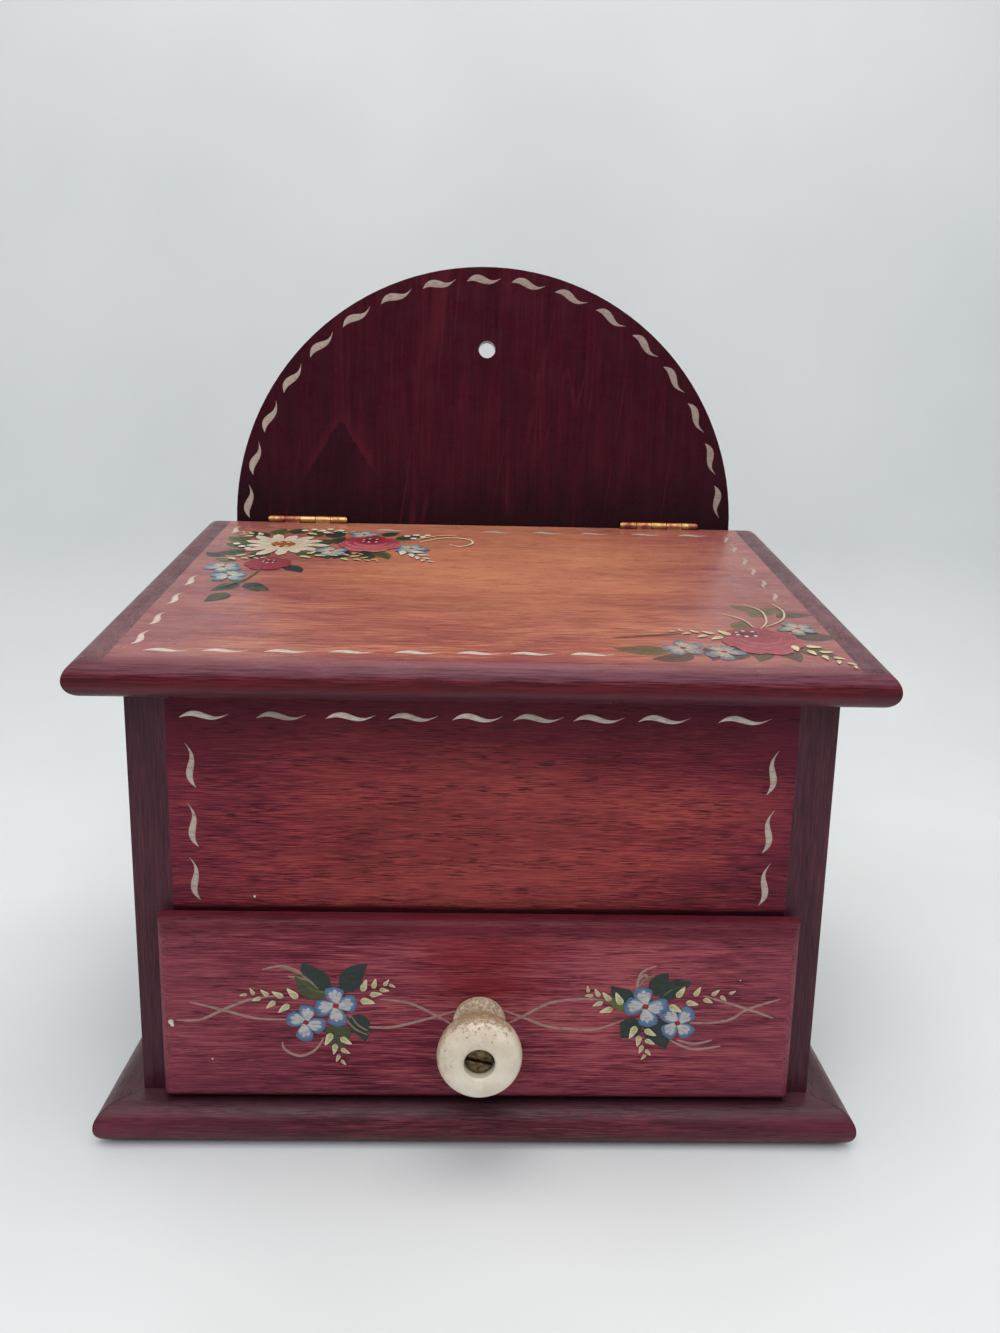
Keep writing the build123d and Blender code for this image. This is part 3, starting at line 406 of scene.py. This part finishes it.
def paint():
    """Hand-laid paint: the colour of each stroke, bristle streaks and small worn patches."""
    made, tree, place = material("brushed_paint")
    laid = add(tree, "Attribute", output="Color", attribute_name="laid_colour")
    bristle = mottled(tree, place, 0.5, 2.0, (5, 1, 1))
    streaky = add(tree, "MapRange", {0: bristle, 1: 0.4, 2: 0.7, 4: 0.4}, **SMOOTH)
    colour = add(tree, "Mix", {0: streaky, 6: laid, 7: linear("#8a6462")}, 2, blend_type="MULTIPLY", **COLOUR)
    thin = mottled(tree, place, 1.4, 5.0, roughness=0.7)
    thin = add(tree, "MapRange", {0: thin, 1: 0.6, 2: 0.72, 4: 0.4}, **SMOOTH)
    surface(tree, {
        "Base Color": add(tree, "Mix", {0: thin, 6: colour, 7: linear("#71363a")}, 2, **COLOUR),
        "Roughness": add(tree, "MapRange", {0: bristle, 1: 0.3, 2: 0.7, 3: 0.4, 4: 0.55}, **SMOOTH),
        "Specular IOR Level": 0.3,
        "Coat Weight": 0.15,
        "Coat Roughness": 0.25,
        "Normal": add(tree, "Bump", {"Height": bristle, "Distance": 0.06 * MM}),
    })
    return made


def dress(nodes, made):
    """Gives CAD nodes a material."""
    for name in nodes:
        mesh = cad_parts[name].data
        mesh.materials.clear()
        mesh.materials.append(made)


dress(["front_board"], front_wood)
dress(["drawer_front"], drawer_wood)
dress(["left_side", "right_side"], side_wood)
dress(["back_board"], back_wood)
dress(["lid_panel"], lid_wood)
dress(["lid_left_end", "lid_right_end"], strip_wood)
# The plinth's nail heads are stained over with it
dress(["plinth_front", "plinth_nails"], plinth_wood)
dress(["plinth_left", "plinth_right"], plinth_side_wood)
dress(["compartment_floor", "bottom_board", "drawer_back", "drawer_bottom"], inner_wood)
dress(["drawer_left_side", "drawer_right_side"], inner_side_wood)
dress([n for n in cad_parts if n.startswith("hinge")], brass())
dress(["case_nails", "drawer_nails"], steel("dark_nail_steel", "#3b2a26", "#5d4a43"))
dress(["knob_bolt", "knob_washer", "knob_nut"], steel("dull_bolt_steel", "#3e3024", "#7c684c"))
dress(["drawer_knob"], glaze())


# Surfaces that are painted: a point in mm, the way up, the way out and the body. Across is always X
front_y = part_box("front_board")[0][1] / MM
back_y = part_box("back_board")[0][1] / MM
drawer_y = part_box("drawer_front")[0][1] / MM
lid_back_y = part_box("lid_panel")[1][1] / MM
lid_back_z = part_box("lid_panel")[1][2] / MM
arch_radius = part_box("back_board")[1][0] / MM
arch_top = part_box("back_board")[1][2] / MM
UP = Vector((0, 0, 1))
OUT = Vector((0, -1, 0))
SURFACES = {
    "front": (Vector((0, front_y, 0)), UP, OUT, "case"),
    "back": (Vector((0, back_y, 0)), UP, OUT, "case"),
    "drawer": (Vector((0, drawer_y, 0)), UP, OUT, "drawer"),
    "lid": (Vector((0, lid_back_y, lid_back_z)), LID_UP, LID_OUT, "lid"),
}
# Paint in mm: how far the lowest stroke's edges stand off the wood, how high a stroke is domed, and how far
# one level of strokes lies over the next. Each stroke lies a little over the one before it
PAINT_GAP = 0.015
PAINT_THICKNESS = 0.06
LAYER = 0.03
LEVEL_PER_STROKE = 0.02
# A stroke's cross-section, in shares of half its width
ACROSS = (-1, -0.6, 0, 0.6, 1)

IVORY = linear("#ece2d6")
CREAM = linear("#cfc2b4")
BONE = linear("#ab9c92")
WHITE = linear("#d8cec1")
CHALK = linear("#c4bbb6")
TAN = linear("#9c7a72")
BLUE = linear("#2c5c88")
PALE_BLUE = linear("#aab2b4")
GREY_BLUE = linear("#4a7788")
STRAW = linear("#c4b692")
DARK_GREEN = linear("#1f2e28")
OLIVE = linear("#3f4629")
GREEN = linear("#566329")
LEAFLET = linear("#a0a064")
LEAFLET_EDGE = linear("#d9cfae")
RED = linear("#8c1f33")
DULL_RED = linear("#87303a")
PINK = linear("#c9727a")
ORANGE = linear("#a2502f")
YELLOW = linear("#c6bd7c")
WINE = linear("#4c1220")
WORN = linear("#99584e")


class Painting:
    """Strokes of paint on one surface, gathered in one mesh."""

    def __init__(self, surface_name):
        self.origin, self.up, self.out, self.body = SURFACES[surface_name]
        self.name = "paint_on_" + surface_name
        self.mesh = bmesh.new()
        self.colour = self.mesh.verts.layers.float_color.new("laid_colour")
        self.level = 0.0

    def stroke(self, path, widths, first, last=None, edge=None, late=1.6):
        """A domed ribbon of paint along path, from one colour to another, edged with a third. The second
        colour comes later along it as late grows. The ribbon is a grid, bent to the path."""
        count = len(path) - 1
        rows = len(ACROSS) - 1
        grid = bmesh.ops.create_grid(self.mesh, x_segments=count, y_segments=rows, size=1.0)
        for vert in grid["verts"]:
            i = round((vert.co.x + 1) / 2 * count)
            step = ACROSS[round((vert.co.y + 1) / 2 * rows)]
            ahead = Vector(path[min(i + 1, count)]) - Vector(path[max(i - 1, 0)])
            across = Vector((-ahead.y, ahead.x)).normalized()
            x, z = Vector(path[i]) + across * (widths[i] / 2 * step)
            height = PAINT_GAP + self.level * LAYER + PAINT_THICKNESS * (1 - step * step)
            vert.co = (self.origin + Vector((x, 0, 0)) + self.up * z + self.out * height) * MM
            middle = between(first, last or first, (i / count) ** late)
            vert[self.colour] = between(middle, edge, step * step) if edge else middle
        self.level += LEVEL_PER_STROKE

    def bent(self, x, z, angle, length, steps, aside):
        """Points from x, z along angle, each set aside by a share of the length."""
        path = []
        for i in range(steps + 1):
            along = length * i / steps
            off = length * aside(i / steps)
            path.append((x + along * cos(angle) - off * sin(angle),
                         z + along * sin(angle) + off * cos(angle)))
        return path

    def s_stroke(self, x, z, angle, length, width, colour=CREAM, flip=1, wave=0.075):
        """A flat S with a blunt start and a long fine tail, as a border."""
        steps = 20
        start_x = x - length / 2 * cos(angle)
        start_z = z - length / 2 * sin(angle)
        path = self.bent(start_x, start_z, angle, length, steps,
                         lambda t: flip * wave * (sin(2 * pi * t ** 0.95) + 1.1 * (t - 0.4)))
        widths = [width * (0.05 + sin(pi * (i / steps) ** 0.72) ** 1.5) for i in range(steps + 1)]
        self.stroke(path, widths, colour, between(colour, TAN, 0.35), between(colour, TAN, 0.4))

    def comma(self, x, z, angle, length, width, first, last=None, edge=None, bend=0.15):
        """A comma stroke: round head at x, z, tail drawn out along angle."""
        steps = 8
        shares = [i / steps for i in range(steps + 1)]
        widths = [width * max(0.05, sqrt(min(1, t / 0.3)) * (1 - t) ** 0.6) for t in shares]
        path = self.bent(x, z, angle, length, steps, lambda t: bend * t * t)
        self.stroke(path, widths, first, last, edge)

    def petal(self, x, z, angle, length, width, inner, outer):
        """A petal that widens from x, z to a round rim, pale inside and darker at its rim."""
        steps = 8
        shares = [i / steps for i in range(steps + 1)]
        widths = [width * max(0.08, t ** 0.6 * sqrt(1 - t ** 5)) for t in shares]
        path = self.bent(x, z, angle, length, steps, lambda t: 0.04 * sin(pi * t))
        self.stroke(path, widths, inner, outer, between(inner, outer, 0.8), 2.6)

    def leaf(self, x, z, angle, length, width, first=DARK_GREEN, edge=None, bend=0.1):
        """A pointed leaf, flat in colour or lit at its edges."""
        steps = 9
        widths = [width * max(0.03, sin(pi * (i / steps) ** 0.75) ** 0.9) for i in range(steps + 1)]
        path = self.bent(x, z, angle, length, steps, lambda t: bend * sin(pi * t))
        self.stroke(path, widths, first, first, edge)

    def dot(self, x, z, radius, colour, edge=None, flat=1.0):
        """A round or flattened dab."""
        steps = 8
        shares = [2 * i / steps - 1 for i in range(steps + 1)]
        path = [(x + radius * t, z) for t in shares]
        widths = [2 * radius * flat * sqrt(max(0.01, 1 - t * t)) for t in shares]
        self.stroke(path, widths, colour, colour, edge)

    def flower(self, x, z, radius, turn_by=0.2, petals=4, rim=BLUE, inner=PALE_BLUE, glint=CHALK):
        """A small flower: round blue petals with broad pale strokes inside, and a red centre."""
        angles = [turn_by + i * 2 * pi / petals + 0.12 * sin(3.1 * i + x) for i in range(petals)]
        for i, angle in enumerate(angles):
            reach = radius * (1 + 0.07 * sin(5.3 * i + z))
            self.petal(x, z, angle, reach, 4.6 * radius / petals, between(inner, rim, 0.5), rim)
            self.level += 0.3
        self.level += 1
        for i, angle in enumerate(angles):
            start = between(inner, glint, 0.2 + 0.4 * (i % 2))
            for swing, far in ((-0.32, 0.7), (0.3, 0.74), (0.0, 0.8)):
                turned = angle + swing
                reach = far * radius
                self.comma(x + reach * cos(turned), z + reach * sin(turned), turned + pi, reach * 0.9,
                           radius * 0.36, start, glint, between(inner, rim, 0.35), 0.08)
        self.level += 1
        self.dot(x, z, radius * 0.15, RED)
        self.level -= 2

    def daisy(self, x, z, radius):
        """A large cream flower of two rings of petals round an orange-brown middle."""
        inner = between(TAN, STRAW, 0.7)
        outer = between(WHITE, STRAW, 0.3)
        for ring, count in ((1.0, 13), (0.72, 9)):
            for i in range(count):
                angle = i * 2 * pi / count + ring * 0.9
                reach = ring * radius * (1 + 0.12 * sin(4.7 * i))
                self.petal(x, z, angle, reach, radius * 0.36, inner, outer)
            self.level += 1
        self.dot(x, z, radius * 0.3, ORANGE, WINE)
        for i in range(6):
            angle = i * 1.05
            self.dot(x + radius * 0.2 * cos(angle), z + radius * 0.2 * sin(angle), radius * 0.06, YELLOW)
        self.level -= 2

    def rose(self, x, z, radius, heart_x=0.0, heart_z=0.4, first=RED, last=PINK, petals=7):
        """A cupped rose: dark petals that pale towards the bottom, and a dark heart with white stamens."""
        for i in range(petals):
            angle = 0.5 + i * 2 * pi / petals
            rim = between(first, last, 0.5 - 0.5 * sin(angle))
            self.petal(x, z, angle, radius, radius * 1.05, first, rim)
        self.level += 1
        for ring in (0.78, 0.52):
            arc = [radians(a) for a in range(185, 356, 17)]
            path = [(x + ring * radius * cos(a), z + radius * 0.25 + ring * radius * sin(a)) for a in arc]
            widths = [radius * 0.3 * (0.1 + sin(pi * i / (len(arc) - 1))) for i in range(len(arc))]
            self.stroke(path, widths, between(first, last, 0.85), between(first, last, 0.6), first)
        self.level += 1
        heart_x = x + heart_x * radius
        heart_z = z + heart_z * radius
        self.dot(heart_x, heart_z, radius * 0.34, WINE, first, 0.75)
        for i in range(7):
            angle = i * 0.9
            self.dot(heart_x + radius * 0.27 * cos(angle), heart_z + radius * 0.2 * sin(angle), radius * 0.05,
                     WHITE)
        self.level -= 2

    def sprig(self, x, z, angle, length, count=7, size=5.0, inner=LEAFLET, edge=LEAFLET_EDGE):
        """Pairs of leaflets along an unseen stem, round at the stem and pointed outwards, smaller to the
        tip."""
        for i in range(count):
            t = i / max(1, count - 1)
            side = 1 if i % 2 else -1
            off = side * 1.5 * (1 - t)
            px = x + t * length * 0.92 * cos(angle) - off * sin(angle)
            pz = z + t * length * 0.92 * sin(angle) + off * cos(angle)
            long = size * (1 - 0.5 * t)
            turned = angle + side * 0.5 + 0.3 * sin(7 * i)
            self.comma(px, pz, turned, long, long * 0.62, between(inner, TAN, t * 0.6), edge,
                       between(edge, PINK, t * 0.4), 0.12 * side)

    def curve(self, points, width=0.95, colour=TAN):
        """A thin vine through points, smoothed, fine at both ends."""
        path = []
        ends = [Vector(point) for point in (points[0], *points, points[-1])]
        for a, b, c, d in zip(ends, ends[1:], ends[2:], ends[3:]):
            for i in range(8):
                t = i / 8
                path.append((2 * b + (c - a) * t + (2 * a - 5 * b + 4 * c - d) * t ** 2
                             + (3 * b - a - 3 * c + d) * t ** 3) / 2)
        path.append(ends[-1])
        count = len(path) - 1
        widths = [width * (0.25 + 0.75 * sin(pi * i / count) ** 0.5) for i in range(count + 1)]
        self.stroke(path, widths, colour)

    def done(self, made):
        """The finished mesh as an object that rides on its body."""
        data = bpy.data.meshes.new(self.name)
        self.mesh.normal_update()
        inward = [face for face in self.mesh.faces if face.normal.dot(self.out) < 0]
        bmesh.ops.reverse_faces(self.mesh, faces=inward)
        for face in self.mesh.faces:
            face.smooth = True
        self.mesh.to_mesh(data)
        self.mesh.free()
        data.materials.append(made)
        made_object = bpy.data.objects.new(self.name, data)
        scene.collection.objects.link(made_object)
        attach(made_object, self.body)


brushed_paint = paint()

# Border of the front board: a row under the lid, each stroke more or less worn to bone, that rises a little
# to the right, and three strokes down each side
front = Painting("front")
for i, (x, bone) in enumerate((
    (-89.2, 0.3), (-64.7, 1.0), (-42.7, 0.0), (-22.7, 0.5), (-2.2, 0.1), (17.3, 0.7), (36.8, 0.5),
    (57.8, 0.4), (83.8, 0.3),
)):
    front.s_stroke(x, 145.4 + 0.1 * i, radians(1), 15.8 + 0.02 * i * i, 1.8, between(IVORY, BONE, bone),
                   wave=0.065)
for side in (-1, 1):
    for z in (129, 108.8, 90.2):
        front.s_stroke(side * 94, z, radians(90 - 7 * side), 15.2, 2.1, between(BONE, CREAM, 0.4), -side)
# A chip that shows pale wood
front.dot(-74.8, 84.1, 0.4, WHITE)
front.done(brushed_paint)

# Border of the back board, following the arch
back = Painting("back")
BORDER_INSET = 5.6
BORDER_COUNT = 17
border_radius = arch_radius - BORDER_INSET
for i in range(BORDER_COUNT):
    angle = radians(7 + i * 168 / (BORDER_COUNT - 1))
    back.s_stroke(border_radius * cos(angle), arch_top - arch_radius + border_radius * sin(angle),
                  angle - pi / 2, 15.0, 3.0, between(BONE, CREAM, 0.7 * max(0, -cos(angle))))
back.done(brushed_paint)

# Lid border: up runs up the slope, with 0 at the back edge
lid = Painting("lid")
for i, x in enumerate((-99.5, -81.5, -62, -42, -21.5, -2, 15, 34)):
    lid.s_stroke(x, -171 + 0.3 * i, radians(1), 14.4, 2.4, CREAM, 1, 0.06)
for z in (-16, -95, -117.5, -140, -159):
    lid.s_stroke(-111, z, radians(84), 14, 2.2, CREAM, -1)
for z in (-19, -36, -56, -71, -88, -105):
    lid.s_stroke(108.5, z, radians(-95), 13.5, 1.6, BONE)
for x in (-42, 6, 28.5, 50, 73.5, 95):
    lid.s_stroke(x, -12, radians(0), 13, 2.6, between(BONE, CREAM, 0.6))

# Lid: the spray in the back left corner, leaves first
for x, z, turn_by, length, width, first, edge in (
    (-94, -28, 2.3, 13, 9, DARK_GREEN, OLIVE), (-90, -24, 1.5, 11, 9, OLIVE, GREEN),
    (-97, -42, 3.0, 13, 11, OLIVE, GREEN), (-99, -52, -2.9, 12, 9, DARK_GREEN, OLIVE),
    (-66, -28, 1.3, 14, 9, DARK_GREEN, None), (-72, -26, 1.9, 11, 8, OLIVE, DARK_GREEN),
    (-38, -30, 0.6, 13, 9, DARK_GREEN, GREEN), (-36, -44, -0.5, 13, 8, DARK_GREEN, None),
    (-52, -48, -1.3, 15, 10, DARK_GREEN, OLIVE), (-48, -50, -0.9, 14, 8, OLIVE, GREEN),
    (-60, -48, -1.7, 14, 9, DARK_GREEN, None), (-72, -50, -1.0, 15, 9, OLIVE, DARK_GREEN),
    (-92, -52, -1.9, 13, 9, DARK_GREEN, OLIVE), (-80, -74, -0.8, 12, 7, DARK_GREEN, None),
    (-94, -97, -2.1, 13, 8, DARK_GREEN, OLIVE), (-90, -98, -1.0, 12, 8, DARK_GREEN, None),
    (-95, -110, -2.0, 12, 8, OLIVE, DARK_GREEN), (-88, -104, -0.3, 9, 6, OLIVE, DARK_GREEN),
    (-106, -60, 2.6, 10, 7, DARK_GREEN, OLIVE), (-78, -57, 0.2, 12, 8, OLIVE, GREEN),
    (-84, -22, 1.1, 11, 9, DARK_GREEN, OLIVE), (-101, -34, 2.7, 11, 9, OLIVE, GREEN),
    (-62, -38, 1.5, 12, 9, DARK_GREEN, OLIVE), (-44, -24, 0.9, 10, 7, DARK_GREEN, OLIVE),
    (-100, -66, 2.9, 9, 6, GREEN, OLIVE), (-74, -38, 0.3, 13, 9, OLIVE, DARK_GREEN),
):
    lid.leaf(x, z, turn_by, length, width, first, edge)
lid.level += 2
misty = between(GREY_BLUE, PALE_BLUE, 0.45)
for x, z, radius, turn_by in ((-103, -77, 7.5, 0.9), (-98, -89, 7.5, 0.3), (-53, -22, 7, 0.2)):
    lid.flower(x, z, radius, turn_by, 5, GREY_BLUE, misty, STRAW)
lid.rose(-86.5, -71, 9.5, 0.0, 0.3, DULL_RED, RED)
lid.daisy(-85.5, -41, 17.5)
lid.flower(-64, -51, 7.5, 0.5, 5, GREY_BLUE, misty, STRAW)
lid.rose(-49, -38, 13.5)
lid.flower(-31, -45, 7.5, 1.1, 5, GREY_BLUE, misty, STRAW)
lid.level += 1
lid.sprig(-33, -48, -1.0, 20, 8, 6.5, WHITE, WHITE)
lid.sprig(-78, -20, 0.1, 20, 6, 5, YELLOW, LEAFLET_EDGE)
lid.sprig(-76, -58, 0.15, 26, 9, 5.5)
lid.sprig(-104, -62, -0.1, 14, 6, 5)
lid.curve([(-28, -34), (-18, -26), (-8, -27), (-5, -34), (-10, -40), (-15, -37)], 1.0, LEAFLET_EDGE)
lid.curve([(-30, -30), (-20, -22), (-12, -22)], 0.9, YELLOW)
lid.curve([(-88, -80), (-91, -94), (-98, -104)], 1.0, GREEN)
lid.sprig(-98, -28, 2.6, 12, 6, 5, YELLOW, LEAFLET_EDGE)
lid.sprig(-58, -60, -0.3, 16, 7, 5, LEAFLET, YELLOW)
for x, z in (
    (-76, -15), (-72, -17), (-69, -14), (-102, -46), (-99, -49), (-30, -22), (-27, -25), (-25, -22),
    (-105, -42), (-96, -45), (-80, -17), (-64, -16), (-34, -24), (-31, -28), (-70, -20),
):
    lid.dot(x, z, 1.5, WHITE)

# Lid: the spray in the front right corner, duller
lid.level = 0.0
for x, z, turn_by, length, width, first, edge in (
    (60, -163, 3.1, 19, 9, OLIVE, GREEN), (66, -167, 3.5, 15, 8, DARK_GREEN, OLIVE),
    (88, -144, 1.3, 12, 8, OLIVE, GREEN), (94, -128, 0.6, 18, 9, OLIVE, GREEN),
    (97, -120, 2.6, 9, 6, OLIVE, GREEN), (103, -128, 0.2, 14, 7, DARK_GREEN, OLIVE),
    (104, -150, 0.0, 15, 9, DARK_GREEN, DARK_GREEN), (100, -160, -0.6, 15, 9, OLIVE, DARK_GREEN),
    (94, -160, -1.2, 14, 8, DARK_GREEN, OLIVE), (88, -160, -1.7, 13, 8, OLIVE, DARK_GREEN),
    (82, -160, -1.9, 13, 8, DARK_GREEN, OLIVE), (72, -160, -1.6, 13, 7, DARK_GREEN, DARK_GREEN),
):
    lid.leaf(x, z, turn_by, length, width, between(first, WORN, 0.25), between(edge, WORN, 0.25))
lid.level += 2
faded = between(GREY_BLUE, WORN, 0.3)
pale = between(PALE_BLUE, WORN, 0.35)
worn_straw = between(STRAW, WORN, 0.25)
lid.flower(64, -162, 7.5, 0.4, 5, faded, between(faded, pale, 0.4), worn_straw)
lid.flower(76.5, -165, 7, 1.0, 5, faded, between(faded, pale, 0.2), worn_straw)
lid.flower(107, -141, 7, 0.7, 5, between(faded, GREEN, 0.3), between(faded, pale, 0.4), worn_straw)
lid.rose(91.5, -154, 13.5, -0.25, 0.5, DULL_RED, between(DULL_RED, PINK, 0.4))
lid.level += 1
lid.sprig(82, -150, 2.9, 20, 8, 5.5)
lid.sprig(102, -157, -0.95, 25, 9, 5.5, YELLOW, LEAFLET_EDGE)
worn_vine = between(LEAFLET_EDGE, WORN, 0.35)
lid.curve([(94, -142), (98, -134), (99, -122), (94, -114)], 0.7, worn_vine)
lid.curve([(96, -140), (104, -132), (107, -122), (105, -113)], 0.7, worn_vine)
lid.curve([(92, -141), (90, -132), (84, -126)], 0.6, worn_vine)
lid.curve([(66, -148), (56, -150), (42, -153)], 0.7, OLIVE)
lid.done(brushed_paint)

# Drawer front: two sprays joined by thin vines that cross
drawer = Painting("drawer")
for points in (
    ((-100, 43.8), (-92, 44.2), (-84.6, 47.7), (-75.6, 51.5), (-66, 53)),
    ((-95.5, 50.5), (-84.6, 47.7), (-73.9, 44.8), (-63, 44.4)),
    ((-33, 52), (-23, 50.6), (-14, 46), (-9, 43)),
    ((-42, 44), (-37, 42), (-29.5, 41.8), (-23, 43.3), (-14, 46), (-8, 48)),
    ((5.6, 49.4), (14, 46), (23, 42.5), (32.7, 41.6), (39.3, 41.8), (48.2, 45.2)),
    ((9.5, 43.6), (14, 46), (23, 51), (32.7, 52.6), (42, 52.4)),
    ((70, 44.2), (78, 44.4), (84, 45.8), (89.3, 49.4), (100.2, 53.3)),
    ((74, 54.2), (89.3, 49.4), (98, 46.2)),
    ((63.6, 38), (71.5, 34.6), (81, 35.8)), ((66, 38), (72, 36.6), (78, 38)),
    ((52.1, 52), (52, 58), (53.5, 62.5), (58, 64.8)), ((52.6, 60), (54.5, 61.5), (55.4, 60)),
    ((-71.2, 62.3), (-64, 63.4), (-56.6, 59.6), (-52, 53)), ((-63, 60), (-57.5, 58.5), (-53, 54)),
    ((-65.3, 36.4), (-64.3, 33.3), (-59.4, 31.1), (-54.4, 33.4), (-51.4, 38)),
    ((-43, 46), (-40, 42), (-36.5, 39.5)),
):
    drawer.curve(points)
drawer.level = 1.0
for x, z, turn_by, length, width, first in (
    (-49, 54.5, 2.28, 14, 9, DARK_GREEN), (-50, 53.6, 2.62, 12.5, 7, OLIVE),
    (-49.5, 53.8, 2.72, 9.5, 4.4, GREEN), (-44.5, 54, 0.95, 13, 7.5, DARK_GREEN),
    (-47, 43.5, -1.75, 10, 8.5, OLIVE), (-42.5, 46, -1.1, 10.5, 7, DARK_GREEN),
    (51.5, 51.5, 2.5, 10, 7, DARK_GREEN), (51, 50.5, 2.8, 9.5, 4.8, GREEN),
    (58.5, 54, 1.15, 9, 7, DARK_GREEN), (60, 52.5, 0.55, 12, 6.5, DARK_GREEN),
    (60.5, 53.5, 0.5, 9, 3.8, GREEN), (51.5, 46, -2.1, 8.5, 8, DARK_GREEN),
    (55.5, 44.5, -0.95, 12, 9.5, DARK_GREEN),
):
    drawer.leaf(x, z, turn_by, length, width, first)
drawer.level = 2.4
for points in (
    ((-66, 63.2), (-60, 61.4), (-54.5, 57.5)), ((-61, 60.2), (-56.5, 58.6), (-53, 55.5)),
    ((-45, 46), (-41.5, 41.5), (-37, 39)), ((-42.5, 46), (-40, 42.5), (-37, 40.6)),
    ((52.4, 57), (54.4, 60), (57.6, 61.4)),
):
    drawer.curve(points, 0.7, between(TAN, GREEN, 0.5))
drawer.level = 3.0
drawer.flower(-57.3, 43.5, 6.8, -0.25)
drawer.flower(-47.4, 49.6, 7.4, 0.1)
drawer.flower(66, 44.3, 6.8, 0.75)
drawer.flower(55, 50.2, 7.6, 0.05)
drawer.level += 1
for x, z, turn_by, length, count in (
    (-60, 50.8, 2.98, 18, 8), (-40, 53, 0.42, 12, 7), (-47.5, 40, -1.4, 11, 6),
    (62.5, 52, 0.15, 22, 8), (46.5, 49.5, 2.65, 13, 7), (53.5, 43.5, -1.35, 12, 7),
):
    drawer.sprig(x, z, turn_by, length, count)
# Chips that show pale wood
for x, z, radius in ((-101.6, 43.4, 0.9), (-101.2, 42.3, 0.6), (-88.4, 30, 0.3), (86, 60, 0.25)):
    drawer.dot(x, z, radius, WHITE)
drawer.done(brushed_paint)


# Floor and wall of the room: one pale sheet with a soft bend
FLOOR_HALF = 3000.0
FLOOR_FRONT = -4000.0
FLOOR_Z = -0.3
WALL_Y = 420.0
WALL_HEIGHT = 1800.0
BEND_RADIUS = 160.0
BEND_STEPS = 16


def pale_sheet():
    """Smooth pale card, barely mottled, and clear from its back so that it never hides the box."""
    made, tree, place = material("pale_card")
    tone = mottled(tree, place, 300.0, 3.0)
    card = add(tree, "BsdfPrincipled", {
        "Base Color": add(tree, "ValToRGB", {0: tone}, stops=((0.3, "#d6dada"), (0.7, "#e2e5e5"))),
        "Roughness": 0.6,
        "Normal": add(tree, "Bump", {"Height": mottled(tree, place, 2.0, 4.0), "Distance": 0.05 * MM}),
    })
    from_back = add(tree, "NewGeometry", output="Backfacing")
    either = add(tree, "MixShader", {0: from_back, 1: card, 2: add(tree, "BsdfTransparent")})
    add(tree, "OutputMaterial", {"Surface": either}, None)
    return made


# The floor's front edge is drawn back, turned up through the bend and drawn up the wall
sheet_mesh = bmesh.new()
corners = [sheet_mesh.verts.new(Vector((x, FLOOR_FRONT, FLOOR_Z)) * MM) for x in (-FLOOR_HALF, FLOOR_HALF)]
last = corners + [sheet_mesh.edges.new(corners)]
bend_centre = Vector((0, WALL_Y - BEND_RADIUS, FLOOR_Z + BEND_RADIUS))
for move, turn_up, steps in (
    ((0, bend_centre.y - FLOOR_FRONT, 0), 0, 1),
    ((0, 0, 0), pi / 2, BEND_STEPS),
    ((0, 0, WALL_HEIGHT - bend_centre.z), 0, 1),
):
    last = bmesh.ops.spin(sheet_mesh, geom=last, cent=bend_centre * MM, axis=(1, 0, 0),
                          dvec=Vector(move) * MM, angle=turn_up, steps=steps)["geom_last"]
for face in sheet_mesh.faces:
    face.smooth = True
sheet_data = bpy.data.meshes.new("room_sheet")
sheet_mesh.to_mesh(sheet_data)
sheet_mesh.free()
sheet_data.materials.append(pale_sheet())
room = bpy.data.objects.new("room_sheet", sheet_data)
scene.collection.objects.link(room)


# Light: a pale sky that dims towards the open front of the room, and large soft lamps above
world = bpy.data.worlds.new("world")
scene.world = world
world.use_nodes = True
air = world.node_tree
air.nodes.clear()
way = add(air, "TexCoord", output="Generated")
way = add(air, "SeparateXYZ", {0: way}, None).outputs
overhead = add(air, "MapRange", {0: way["Z"], 1: -0.1, 2: 0.8, 3: 0.5}, **SMOOTH)
open_front = add(air, "MapRange", {0: way["Y"], 1: -0.9, 2: 0.1, 3: 0.55}, **SMOOTH)
strength = add(air, "Math", {0: overhead, 1: open_front}, operation="MULTIPLY")
strength = add(air, "Math", {0: strength, 1: 0.92}, operation="MULTIPLY")
sky = add(air, "Background", {"Color": linear("#eceff0"), "Strength": strength})
add(air, "OutputWorld", {"Surface": sky}, None)


def lamp(name, place, target, width, height, power, colour):
    """A soft rectangular lamp aimed at a point, in mm."""
    data = bpy.data.lights.new(name, "AREA")
    data.shape = "RECTANGLE"
    data.size = width * MM
    data.size_y = height * MM
    data.energy = power
    data.color = linear(colour)[:3]
    made = bpy.data.objects.new(name, data)
    made.location = Vector(place) * MM
    made.rotation_euler = (Vector(target) - Vector(place)).to_track_quat("-Z", "Y").to_euler()
    scene.collection.objects.link(made)


lamp("ceiling_lamp", (60, -100, 1400), (0, 0, 100), 1200, 900, 8.5, "#fff8f0")
lamp("front_window", (-40, -900, 1150), (0, 0, 120), 1200, 900, 7.5, "#f2f5ff")
